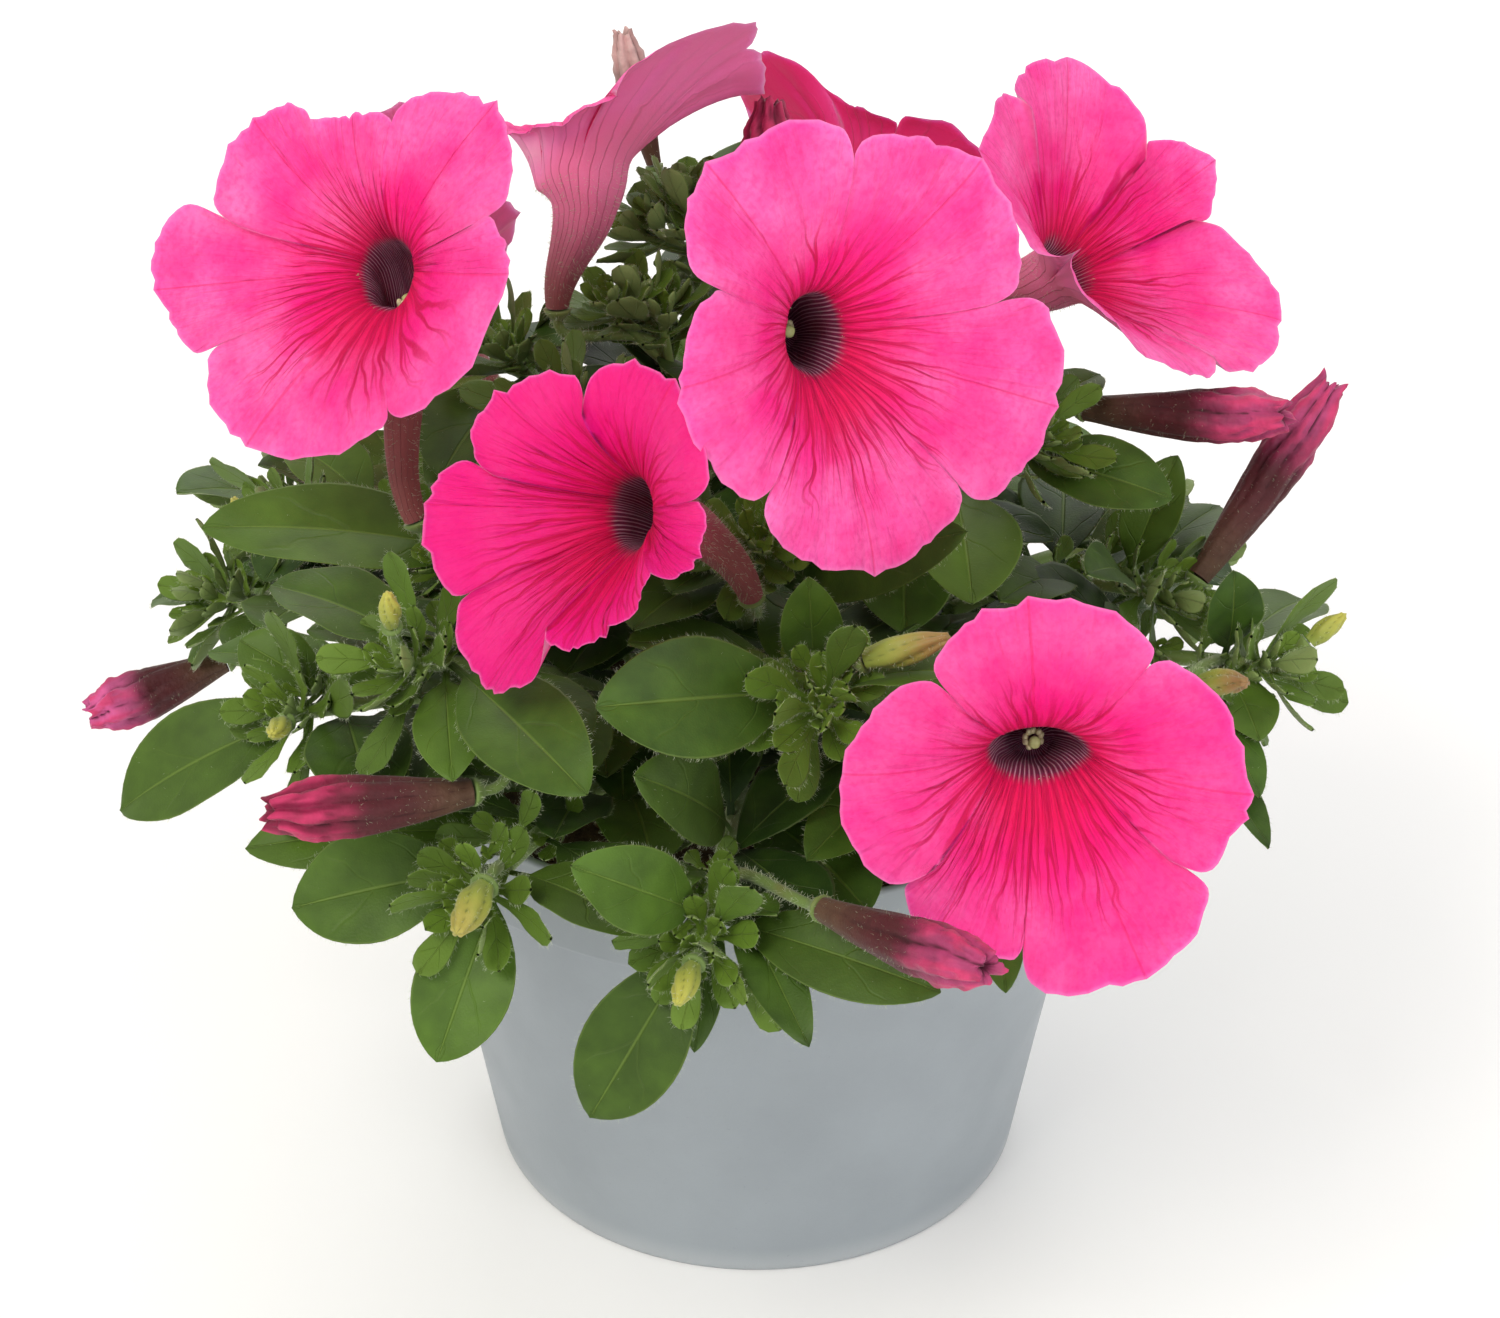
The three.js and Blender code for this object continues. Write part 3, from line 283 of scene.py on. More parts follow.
def addFuzz(growth, points, rng, density, length, width, lean, slot=2):
    count = max(1, int(areaOf(points) * density))
    roots, normals = scatter(points, count, rng)
    headings = unit(normals + rng.normal(size=normals.shape) * lean)
    growth.hairs(roots, headings, length * rng.uniform(0.6, 1.25, count), width, slot, rng)


# Materials
def addNode(tree, kind, inputs=(), **settings):
    made = tree.nodes.new("ShaderNode" + kind)
    for key, setting in settings.items():
        setattr(made, key, setting)
    for key, source in inputs.items() if isinstance(inputs, dict) else enumerate(inputs):
        if isinstance(source, str):
            source = linear(source)
        if isinstance(source, bpy.types.Node):
            source = next(socket for socket in source.outputs if socket.enabled)
        if isinstance(source, bpy.types.NodeSocket):
            tree.links.new(source, made.inputs[key])
        else:
            made.inputs[key].default_value = source
    return made


def newMaterial(name, **settings):
    material = bpy.data.materials.new(name)
    material.use_nodes = True
    shader = material.node_tree.nodes["Principled BSDF"]
    for key, setting in settings.items():
        shader.inputs[key.replace("_", " ")].default_value = setting
    return material, material.node_tree


def wired(material, **sources):
    # The finished material, with each node linked to the shader's socket of that name
    tree = material.node_tree
    for key, source in sources.items():
        socket = next(socket for socket in source.outputs if socket.enabled)
        tree.links.new(socket, tree.nodes["Principled BSDF"].inputs[key.replace("_", " ")])
    return material


def plantHair():
    # Glandular hair, so fine that it shows as a pale haze along every edge
    material, tree = newMaterial(
        "glandular hair, translucent", Base_Color=linear(fuzz["colour"]), Roughness=fuzz["roughness"],
        Sheen_Weight=fuzz["sheen"])
    tip = addNode(tree, "SeparateXYZ", [addNode(tree, "UVMap")])
    shade = addNode(tree, "Mix", {0: tip.outputs["Y"], 6: fuzz["foot"], 7: fuzz["colour"]}, data_type="RGBA")
    return wired(material, Base_Color=shade)


leafLook = dict(
    deep="#213a0d", light="#4f7022", young="#6f8b2d", underside="#7d9156", vein="#86a047", haze="#dfe8c8",
    roughness=0.5, specular=0.25, sheen=0.04, sheenRoughness=0.5, contrast=1.1,
    mottle=5.0, waver=6.0, grain=0.35, grainDepth=0.05,
    veinDepth=0.14, veinCount=6.0, veinSlant=1.6, veinTint=0.25, sideVeinTint=0.3,
)


def leafBlade():
    # Soft matte leaf: dull green with a faint net of veins, a paler margin and a greyish underside; the paler
    # margin is partly the leaf's own colour and partly painted sheen of its hairy edge
    look = leafLook
    material, tree = newMaterial(
        "petunia leaf, downy matte", Roughness=look["roughness"], Specular_IOR_Level=look["specular"],
        Sheen_Weight=look["sheen"], Sheen_Roughness=look["sheenRoughness"], Sheen_Tint=linear(look["haze"]))
    tone, youth, upper = [addNode(tree, "Attribute", attribute_name=name).outputs["Fac"] for name in (
        "tone", "youth", "upper")]
    place = addNode(tree, "TexCoord").outputs["Object"]
    cloud, wobble, fine = [
        addNode(tree, "TexNoise", {"Vector": place, "Scale": 1 / (look[size] * mm), "Detail": detail})
        for size, detail in (("mottle", 3.0), ("waver", 1.0), ("grain", 2.0))
    ]
    lightness = addNode(tree, "Math", [cloud, 0.5], operation="SUBTRACT")
    lightness = addNode(
        tree, "Math", [lightness, look["contrast"], tone], operation="MULTIPLY_ADD", use_clamp=True)
    spot = addNode(tree, "SeparateXYZ", [addNode(tree, "UVMap")])
    fromRib = addNode(tree, "Math", [spot.outputs["X"]], operation="ABSOLUTE")
    climb = addNode(tree, "Math", [spot.outputs["Y"], look["veinCount"], wobble], operation="MULTIPLY_ADD")
    climb = addNode(tree, "Math", [fromRib, -look["veinSlant"], climb], operation="MULTIPLY_ADD")
    climb = addNode(tree, "Math", [climb, 1.0], operation="PINGPONG")
    side, fade, rib, margin = [
        addNode(tree, "MapRange", steps, interpolation_type="SMOOTHSTEP") for steps in (
            [climb, 0.0, 0.09, 1.0, 0.0], [fromRib, 0.55, 0.95, 0.55, 0.0], [fromRib, 0.01, 0.05, 1.0, 0.0],
            [fromRib, 0.95, 1.0, 0.0, 0.3])
    ]
    side = addNode(tree, "Math", [side, fade], operation="MULTIPLY")
    veins = addNode(tree, "Math", [side, rib], operation="MAXIMUM")
    side = addNode(tree, "Math", [side, look["sideVeinTint"]], operation="MULTIPLY")
    tint = addNode(tree, "Math", [side, rib], operation="MAXIMUM")
    tint = addNode(tree, "Math", [tint, look["veinTint"]], operation="MULTIPLY")
    # margin: a paler band along the edge, partly the leaf's own colour and partly painted sheen of the edge hairs
    green = look["deep"]
    for share, shade in ((lightness, "light"), (youth, "young"), (tint, "vein"), (margin, "vein")):
        green = addNode(tree, "Mix", {0: share, 6: green, 7: look[shade]}, data_type="RGBA")
    green = addNode(tree, "Mix", {0: upper, 6: look["underside"], 7: green}, data_type="RGBA")
    skin = addNode(tree, "Bump", {"Height": fine, "Distance": look["grainDepth"] * mm})
    skin = addNode(
        tree, "Bump", {"Height": veins, "Distance": look["veinDepth"] * mm, "Normal": skin}, invert=True)
    return wired(material, Base_Color=green, Normal=skin)


stemLook = dict(
    green="#6b8440", flush="#7d6a3c", roughness=0.55, ior=1.42, sheen=0.2, patch=9.0, grain=0.5,
    grainDepth=0.08,
)


def greenStem():
    # Soft green stem with a brown flush in patches
    look = stemLook
    material, tree = newMaterial(
        "petunia stem, soft green", Roughness=look["roughness"], IOR=look["ior"], Sheen_Weight=look["sheen"])
    place = addNode(tree, "TexCoord").outputs["Object"]
    patch, fine = [
        addNode(tree, "TexNoise", {"Vector": place, "Scale": 1 / (look[size] * mm), "Detail": 2.0})
        for size in ("patch", "grain")
    ]
    share = addNode(tree, "MapRange", [patch, 0.5, 0.8, 0.0, 0.6])
    green = addNode(tree, "Mix", {0: share, 6: look["green"], 7: look["flush"]}, data_type="RGBA")
    skin = addNode(tree, "Bump", {"Height": fine, "Distance": look["grainDepth"] * mm})
    return wired(material, Base_Color=green, Normal=skin)


# The lines and places of the shoots, as the solids have them
stem = dict(sides=4, foot=1.7, tip=1.15, joints=(0.38, 0.56, 0.73, 0.87), soil=79, buried=62)
calyx = dict(sepals=5, length=13, width=3.2, spread=0.72, cupLength=1.8, cup=2.2)
tuft = dict(ring=4, polar=(0.15, 0.62, 1.15), longest=15, shortest=6, levelLength=1.9)
filler = dict(places=(0.38, 0.56, 0.73, 0.5, 0.87, 0.65), length=28, slimness=0.56)
seatGap = 0.3
tipSlack = 0.02  # how far a leaf's tip may be from a corner of the solid
stalkHint = (0.2, 0.3, 0.93)
topRow = 2 * len(stem["joints"]) + 4
leafShapes = dict(ovate=(0.9, 0.75), spoon=(1.1, 0.45))
petioleShare, petioleHalfWidth = 0.14, 0.75

shoots = [
    dict(name="left_centre", hole=(-14, -14), via=((-20, -30, 108), (-36, -52, 122)), tip=(-50, -66, 130)),
    dict(name="left_low", hole=(-20, -8), via=((-30, -22, 104), (-52, -42, 110)), tip=(-68, -57, 116)),
    dict(name="front_left", hole=(-12, -22), via=((-18, -40, 102), (-30, -66, 104)), tip=(-40, -86, 103)),
    dict(name="front", hole=(-2, -25), via=((-2, -44, 100), (-5, -70, 100)), tip=(-8, -90, 97)),
    dict(name="centre", hole=(4, -16), via=((5, -26, 108), (8, -52, 122)), tip=(9, -76, 128)),
    dict(name="front_right", hole=(12, -21), via=((18, -36, 102), (28, -52, 106)), tip=(34, -64, 108)),
    dict(name="right_low", hole=(21, -6), via=((34, -10, 102), (60, -22, 106)), tip=(79, -34, 110)),
    dict(name="right", hole=(17, 3), via=((26, -2, 106), (46, -10, 116)), tip=(64, -22, 115)),
    dict(name="right_high", hole=(9, -3), via=((12, -6, 116), (26, -18, 136)), tip=(42, -28, 146)),
    dict(name="left", hole=(-23, 1), via=((-34, 0, 102), (-66, -4, 104)), tip=(-86, -10, 108)),
    dict(name="left_back", hole=(-17, 9), via=((-28, 10, 106), (-58, 6, 118)), tip=(-78, 0, 116)),
    dict(name="top", hole=(-4, 6), via=((-6, 8, 112), (-12, 10, 134)), tip=(-18, 12, 150)),
    dict(name="left_high", hole=(-10, -4), via=((-14, -10, 112), (-30, -24, 124)), tip=(-47, -33, 128)),
    dict(name="centre_high", hole=(-2, -9), via=((-2, -14, 114), (-2, -28, 128)), tip=(0, -42, 136)),
    dict(name="top_right", hole=(6, 8), via=((10, 8, 114), (18, 6, 130)), tip=(26, 4, 142)),
    dict(name="back_top", hole=(0, 15), via=((0, 20, 112), (0, 24, 130)), tip=(4, 26, 144)),
    dict(name="back_left_high", hole=(-11, 15), via=((-18, 20, 110), (-32, 26, 122)), tip=(-42, 28, 134)),
    dict(name="right_back", hole=(20, 12), via=((34, 20, 100), (58, 32, 96)), tip=(74, 40, 89)),
    dict(name="back_right", hole=(12, 20), via=((20, 34, 104), (34, 62, 102)), tip=(43, 82, 94)),
    dict(name="back", hole=(-3, 25), via=((-4, 40, 104), (-6, 70, 104)), tip=(-8, 92, 99)),
    dict(name="back_left", hole=(-15, 23), via=((-24, 38, 102), (-44, 58, 106)), tip=(-58, 72, 104)),
    dict(name="far_left", hole=(-24, 10), via=((-36, 16, 102), (-66, 28, 106)), tip=(-84, 34, 100)),
    dict(name="inner_left", hole=(-8, -9), via=((-11, -12, 114), (-20, -14, 130)), tip=(-30, -16, 146)),
    dict(name="inner_back", hole=(-6, 14), via=((-8, 18, 116), (-8, 22, 138)), tip=(-10, 24, 160)),
]
blooms = [
    dict(
        name="left", shoot="left_high", at=1, foot=(-50, -38, 138), rise=(-0.4, 0.15, 0.9),
        centre=(-58.1, -38, 175.3), facing=(-0.5, -0.72, 0.48),
        lobes=((-2, 29.5, 1), (44, 34, -1), (88, 24.5, 0), (124, 31, 0), (176, 37, -2), (232, 28, 0)),
        notches=((16, 22.6, 1), (72, 23.6, 0), (104, 25, 0), (152, 21.3, 0), (197, 22, 0), (294, 19.6, 1)),
    ),
    dict(
        name="right", shoot="centre_high", at=0.9, foot=(2, -30, 152), rise=(0.05, -0.2, 0.95),
        centre=(14.4, -64, 177.4), facing=(0.5, -0.82, 0.27),
        lobes=((-17, 33, 0), (54, 30, 0), (132, 34, -1), (186, 28, 0), (274, 30, 0)),
        notches=((14, 21, 0), (95, 25.5, 0), (157, 24, 0), (230, 22, 0), (308, 23.5, 0)),
    ),
    dict(
        name="centre", shoot="centre_high", at=0.62, foot=(-1, -50, 132), rise=(-0.2, -0.35, 0.9),
        centre=(-24.9, -74, 156.5), facing=(-0.5, -0.74, 0.44),
        lobes=((-12, 22, 4), (50, 24, 0), (125, 22, 0), (172, 25, -1), (235, 26.5, -1), (300, 17, 6)),
        notches=((8, 19, 1), (84, 15, 0), (152, 15, 0), (208, 18, 0), (262, 14, 3), (336, 16.5, 5)),
    ),
    dict(
        name="front_right", shoot="front_right", at=0.85, foot=(37, -66, 120), rise=(0.1, -0.9, 0.3),
        centre=(37.8, -100, 129.5), facing=(0.02, -0.97, 0.2),
        lobes=((0, 27, 0), (96, 27.5, -1), (172, 27, 0), (234, 24, 1), (299, 29.5, 0)),
        notches=((55, 22, 0), (131, 18.8, 0), (214, 17.6, 0), (264, 21, 0), (333, 18.8, 0)),
    ),
    dict(
        name="far_right", shoot="top_right", at=1, foot=(30, 5, 150), rise=(0.55, -0.1, 0.8),
        centre=(56.7, -4, 171.3), facing=(0.62, -0.3, 0.72),
        lobes=((-9, 30, 2), (50, 26, 4), (114, 28.5, 0), (186, 29, -2), (268, 29, 1)),
        notches=((28, 14, 1), (80, 12, 1), (155, 22.6, 0), (229, 18.7, 0), (304, 25, 0)),
    ),
    dict(
        name="top", shoot="top", at=0.8, foot=(-31, 5, 152), rise=(0, 0.15, 0.98),
        centre=(-22.6, 18, 184), facing=(-0.33, 0.55, 0.77), girth=1.3,
        lobes=((-58, 27.5, -2), (28, 25, -5), (104, 20.5, 2), (176, 18, 0), (240, 19.5, -3)),
        notches=((-6, 16.2, -2), (68, 18.2, 0), (140, 16.5, 0), (210, 14, -1), (268, 18.5, -3)),
    ),
    dict(
        name="back_top", shoot="back_top", at=0.6, foot=(11, 34, 134), rise=(0.3, 0.5, 0.8),
        centre=(22, 50, 156), facing=(0.44, 0.77, 0.46),
        lobes=((-44, 20.4, 0), (46, 22, 0), (120, 23, 0), (216, 30, 0), (248, 15.5, 0)),
        notches=((-2, 15, 0), (82, 16, 0), (168, 18, 0), (230, 20.5, 0), (275, 11.5, 0)),
    ),
    dict(
        name="back_left_top", shoot="back_left_high", at=1, foot=(-46, 30, 141), rise=(-0.2, 0.3, 0.9),
        centre=(-58, 42, 160), facing=(-0.35, 0.75, 0.55),
        lobes=((-10, 17, 0), (62, 22, 0), (134, 21, 0), (206, 20, 0), (274, 19, 0)),
        notches=((26, 15, 0), (98, 15, 0), (170, 15, 0), (242, 14, 0), (314, 14, 0)),
    ),
    dict(
        name="back", shoot="back", at=0.5, foot=(12, 64, 112), rise=(0.2, 0.8, 0.4),
        centre=(18, 95, 108), facing=(0.15, 0.96, 0.12),
        lobes=((4, 25, 0), (76, 26, 0), (148, 25, 1), (220, 27, 0), (292, 26, 0)),
        notches=((40, 18, 0), (112, 18, 0), (184, 18, 0), (256, 19, 0), (328, 18, 0)),
    ),
    dict(
        name="back_left", shoot="back_left", at=0.55, foot=(-44, 44, 116), rise=(-0.4, 0.5, 0.7),
        centre=(-62, 66, 128), facing=(-0.55, 0.72, 0.42),
        lobes=((-6, 24, 0), (66, 25, 0), (138, 25, 0), (210, 24, 0), (282, 24, 0)),
        notches=((30, 17, 0), (102, 17, 0), (174, 17, 0), (246, 17, 0), (318, 17, 0)),
    ),
]
bloomsWithStamens = ["left", "right", "centre", "front_right", "far_right", "back", "back_left"]
trumpets = [
    dict(name="far_left", shoot="left", at=0.78, foot=(-86, -5, 94), end=(-108, -12, 88), width=8.5),
    dict(name="low_left", shoot="left_centre", at=0.7, foot=(-40, -79, 117), end=(-67, -90, 121), width=9),
    dict(name="front", shoot="front", at=0.7, foot=(9, -96, 109), end=(30, -122, 118), width=8),
    dict(name="right", shoot="right_high", at=0.75, foot=(50, -12, 143), end=(79, -26, 149), width=8.5),
    dict(name="right_upright", shoot="right", at=1, foot=(68, -20, 118), end=(89, -4, 144), width=8),
    dict(name="top_dark", shoot="back_top", at=0.6, foot=(1, 12, 154), end=(2, 22, 180), width=8),
    dict(name="top_pale", shoot="inner_back", at=0.75, foot=(-17, 48, 158), end=(-22, 52, 180), width=5.5),
]
buds = [
    dict(name="front_left", shoot="front_left", at=0.88, foot=(-38, -88, 107), end=(-41, -97, 106), width=6),
    dict(name="centre", shoot="centre", at=0.85, foot=(15, -73, 135), end=(26, -76, 140), width=5.5),
    dict(name="right", shoot="right_low", at=0.8, foot=(66, -46, 115), end=(71, -53, 119), width=5),
    dict(name="front", shoot="front", at=1, foot=(-9, -94, 98), end=(-11, -101, 97), width=4.5),
    dict(name="left_centre", shoot="left_centre", at=1, foot=(-51, -67, 137), end=(-51, -69, 143), width=4),
    dict(name="left_low", shoot="left_low", at=1, foot=(-68, -61, 117), end=(-69, -67, 119), width=4),
    dict(name="left_back", shoot="left_back", at=1, foot=(-80, -3, 118), end=(-82, -6, 124), width=4),
    dict(name="far_right", shoot="right_low", at=1, foot=(84, -31, 113), end=(89, -30, 117), width=4),
]
largeLeaves = [
    dict(shoot="centre", at=0.86, tip=(-22, -84, 134), width=17, face=(0, -0.8, 0.6)),
    dict(shoot="centre", at=0.8, tip=(7, -66, 144), width=9, face=(0, -0.95, 0.3)),
    dict(shoot="left_centre", at=0.85, tip=(-23, -92, 125), width=15, face=(-0.1, -0.6, 0.8)),
    dict(shoot="left_centre", at=0.92, tip=(-42, -84, 123), width=10, face=(0, -0.6, 0.8)),
    dict(shoot="left_low", at=0.86, tip=(-95, -52, 96), width=17, face=(-0.2, -0.4, 0.9)),
    dict(shoot="front_left", at=0.7, tip=(-74, -68, 100), width=12, face=(-0.2, -0.5, 0.85)),
    dict(shoot="front_left", at=0.8, tip=(-66, -80, 98), width=16, face=(-0.2, -0.7, 0.7)),
    dict(shoot="front_left", at=0.93, tip=(-45, -96, 83), width=14, face=(-0.1, -1, 0.1)),
    dict(shoot="front", at=0.84, tip=(-25, -100, 119), width=12, face=(0, -0.8, 0.6)),
    dict(shoot="front", at=0.9, tip=(-24, -92, 70), width=15, face=(-0.2, -1, 0.2)),
    dict(shoot="front", at=0.86, tip=(25, -100, 98), width=12, face=(0.1, -0.7, 0.7)),
    dict(shoot="front", at=0.95, tip=(7, -103, 91), width=8, face=(0.1, -0.8, 0.5)),
    dict(shoot="front", at=0.93, tip=(-9, -98, 82), width=6, face=(0, -1, 0.2)),
    dict(shoot="front_right", at=0.8, tip=(35, -88, 89), width=9, face=(0.1, -0.8, 0.6)),
    dict(shoot="right_high", at=0.88, tip=(61, -34, 139), width=13, face=(0.2, -0.6, 0.8)),
    dict(shoot="right", at=0.82, tip=(64, -16, 137), width=9, face=(-0.3, -0.8, 0.4)),
    dict(shoot="right", at=0.7, tip=(36, -38, 124), width=11, face=(0, -0.5, 0.85)),
    dict(shoot="right", at=0.88, tip=(48, -44, 132), width=9, face=(-0.2, -0.8, 0.6)),
    dict(shoot="right_low", at=0.72, tip=(74, -56, 101), width=9, face=(0.5, -0.7, 0.5)),
    dict(shoot="right_low", at=0.6, tip=(75, -62, 96), width=10, face=(0.5, -0.6, 0.5)),
    dict(shoot="right_low", at=0.87, tip=(93, -42, 108), width=8, face=(0.2, -0.6, 0.8)),
    dict(shoot="right_low", at=0.85, tip=(71, -34, 127), width=9, face=(0.2, -0.9, 0.4)),
    dict(shoot="centre_high", at=0.55, tip=(29, -62, 149), width=13, face=(0.2, -0.8, 0.5)),
    dict(shoot="left_high", at=0.78, tip=(-83, -30, 132), width=16, face=(-0.3, -0.4, 0.85)),
    dict(shoot="left_low", at=0.9, tip=(-76, -46, 122), width=10, face=(-0.3, -0.5, 0.8)),
    dict(shoot="left", at=0.84, tip=(-98, 2, 101), width=12, face=(-0.4, 0.1, 0.9)),
    dict(shoot="front", at=0.6, tip=(-17, -84, 123), width=13, face=(0, -0.7, 0.7)),
    dict(shoot="front_right", at=0.55, tip=(7, -74, 102), width=11, face=(0, -0.6, 0.8)),
]


def stemLine(shoot):
    return [(*shoot["hole"], stem["soil"]), *shoot["via"], shoot["tip"]]


def stemHint(shoot):
    x, y = shoot["hole"]
    return (0.9 + 0.01 * x, 0.43, 0.11 - 0.01 * y)


def stemFrame(shoot, share):
    at = frameAlong(stemLine(shoot), share, stemHint(shoot))
    at["radius"] = mix(stem["foot"], stem["tip"], share)
    return at


def sideAngle(side):
    return (side + 0.5) / stem["sides"] * turn


def freeCell(shoot, grown, at, toward):
    if at == 1:
        return dict(row=topRow, side=0, root=stemFrame(shoot, 1)["centre"])
    taken = {(cell["row"], cell["side"]) for cell in grown}
    best = None
    for j, joint in enumerate(stem["joints"]):
        middle = stemFrame(shoot, joint)
        heading = unit(toward - middle["centre"])
        for side in range(stem["sides"]):
            outward = outwardOf(middle, sideAngle(side))
            cost = 3 * abs(joint - at) - float(outward @ heading)
            if (2 + 2 * j, side) not in taken and (best is None or cost < best["cost"]):
                root = middle["centre"] + outward * 0.7 * middle["radius"]
                best = dict(row=2 + 2 * j, side=side, root=root, cost=cost)
    return best


def calyxFrame(head, back):
    forward = unit(vec(head["rise"]))
    right = acrossOf(forward, vec(stalkHint))
    centre = vec(head["foot"]) - forward * (seatGap + back)
    return dict(centre=centre, forward=forward, right=right, up=np.cross(forward, right))


def stalkLine(head, start):
    rise = unit(vec(head["rise"]))
    under = vec(head["foot"]) - rise * (seatGap + calyx["cupLength"])
    reach = float(np.linalg.norm(start - under))
    leaving = mix(start, under, 0.4) + vec(0, 0, 0.1 * reach)
    return [start, leaving, under - rise * 0.3 * reach, under]


def sepal(head, k):
    at = calyxFrame(head, 0.8)
    out = outwardOf(at, (k + 0.5) / calyx["sepals"] * turn)
    root = at["centre"] + out
    draw = noise(jsRound(head["foot"][0]), jsRound(head["foot"][1]), k)
    spread = calyx["spread"] + 0.25 * draw
    short = head.get("short", False)
    length = (0.62 if short else 1) * calyx["length"] * (0.85 + 0.35 * draw)
    tip = root + (at["forward"] * math.cos(spread) + out * math.sin(spread)) * length
    width = calyx["width"] * (0.75 if short else 1)
    face = at["forward"] - 0.6 * out
    return dict(root=root, tip=tip, width=width, face=face, bow=-0.06, fold=0.1, shape="spoon")


def jsRound(x):
    return math.floor(x + 0.5)


def heroLeaf(leaf, cell, attempt):
    face = unit(vec(leaf["face"]))
    push = math.ceil(attempt / 2) * (2.5 if attempt % 2 else -2.5)
    return dict(cell, tip=vec(leaf["tip"]) + face * push, width=leaf["width"], face=face, kind="hero")


def tuftLeaf(shoot, index, k, attempt):
    draw = [noise(index, k, attempt, key) for key in range(3)]
    level, side = math.ceil(k / tuft["ring"]), (k + 3) % tuft["ring"]
    at = stemFrame(shoot, 1)
    out = outwardOf(at, sideAngle(side) + 0.5 * (draw[0] - 0.5))
    polar = tuft["polar"][level] + 0.3 * (draw[1] - 0.5)
    length = mix(tuft["shortest"], tuft["longest"], level / 2) * (0.8 + 0.4 * draw[2]) * 0.88 ** attempt
    root = at["centre"] - at["forward"] * tuft["levelLength"] * max(level - 0.5, 0)
    if level:
        root = root + out * stem["tip"]
    tip = root + (at["forward"] * math.cos(polar) + out * math.sin(polar)) * length
    face = at["forward"] * math.sin(polar) - out * math.cos(polar)
    return dict(row=topRow - level, side=side, root=root, tip=tip, width=1.6 + length * 0.24, face=face,
                bow=-0.12, fold=0.15, shape="spoon", kind="tuft", level=level)


def fillerLeaf(shoot, index, k, attempt, grown):
    draw = [noise(index, k, attempt, key + 10) for key in range(4)]
    at, line = filler["places"][k], stemLine(shoot)
    outward = acrossOf(vec(0, 0, 1), tangent(line, at))
    sideways = np.cross(outward, vec(0, 0, 1))
    angle = (1 if k % 2 else -1) * (0.7 + 0.7 * draw[0]) + 0.5 * (draw[1] - 0.5)
    pitch = -0.25 + 0.75 * draw[2]
    length = filler["length"] * (0.75 + 0.4 * draw[3]) * 0.93 ** attempt
    flat = outward * math.cos(angle) + sideways * math.sin(angle)
    reach = flat * length * math.cos(pitch)
    reach[2] = length * math.sin(pitch)
    cell = freeCell(shoot, grown, at, bezier(line, at) + reach)
    return dict(cell, tip=cell["root"] + reach, width=length * filler["slimness"],
                face=vec(0, 0, 1) - 0.4 * flat, kind="filler")


def solidTree(node):
    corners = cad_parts[node].data.vertices
    tree = KDTree(len(corners))
    for i, corner in enumerate(corners):
        tree.insert(corner.co / mm, i)
    tree.balance()
    return tree


def placeGrowth():
    # Tries each leaf as the solids were grown, and keeps the one whose tip the solid has
    solids = {shoot["name"]: solidTree("shoot_" + shoot["name"]) for shoot in shoots}
    byName = {shoot["name"]: shoot for shoot in shoots}
    grown = {shoot["name"]: [] for shoot in shoots}

    def place(name, specAt, attempts):
        for attempt in range(attempts):
            spec = specAt(attempt)
            if solids[name].find(spec["tip"])[2] < tipSlack:
                grown[name].append(spec)
                return

    stalks = []
    for head in stalkedHeads():
        name = head["shoot"]
        cell = freeCell(byName[name], grown[name], head["at"], vec(head["foot"]))
        stalks.append(dict(cell, head=head, kind="stalk", sepals=[]))
        grown[name].append(stalks[-1])
    for leaf in largeLeaves:
        name = leaf["shoot"]
        cell = freeCell(byName[name], grown[name], leaf["at"], vec(leaf["tip"]))
        place(name, lambda attempt: heroLeaf(leaf, cell, attempt), 7)
    for stalk in stalks:
        for k in range(calyx["sepals"]):
            spec = sepal(stalk["head"], k)
            if solids[stalk["head"]["shoot"]].find(spec["tip"])[2] < tipSlack:
                stalk["sepals"].append(spec)
    for index, shoot in enumerate(shoots):
        name = shoot["name"]
        topped = any(cell["row"] == topRow for cell in grown[name])
        for k in range(1 if topped else 0, 2 * tuft["ring"] + 1):
            place(name, lambda attempt: tuftLeaf(shoot, index, k, attempt), 4)
    for index, shoot in enumerate(shoots):
        name = shoot["name"]
        for k in range(len(filler["places"])):
            place(name, lambda attempt: fillerLeaf(shoot, index, k, attempt, grown[name]), 8)
    return grown


def stalkedHeads():
    def aimed(head, seat, **more):
        rise = unit(vec(head["end"]) - vec(head["foot"]))
        return dict(head, rise=rise, seat=head["width"] / 2 * seat, **more)
    return [
        *[dict(head, seat=tube["foot"]) for head in blooms],
        *[aimed(head, trumpetSwell[0]) for head in trumpets],
        *[aimed(head, budSwell[0], short=True) for head in buds],
    ]


def halfWidths(share, width, shape):
    s = np.clip((share - petioleShare) / (1 - petioleShare), 0, 1)
    rise, fall = leafShapes[shape]
    peak = rise / (rise + fall)
    swell = (s / peak) ** rise * ((1 - s) / (1 - peak)) ** fall
    return np.maximum(petioleHalfWidth * 0.8 * (1 - s), width / 2 * swell)


blade = dict(
    largeColumns=(0, 0.08, 0.22, 0.42, 0.62, 0.82, 0.96, 1), smallColumns=(0, 0.5, 0.9, 1),
    largeRows=18, smallRows=10, crowding=1.35, thickness=0.26, smallThinner=0.8, edge=0.02,
    ribDepth=0.3, grooveDepth=0.14, ribWidth=0.55, wave=0.75, twist=0.16, bow=0.14, fold=0.22, foldRadius=0.3,
)


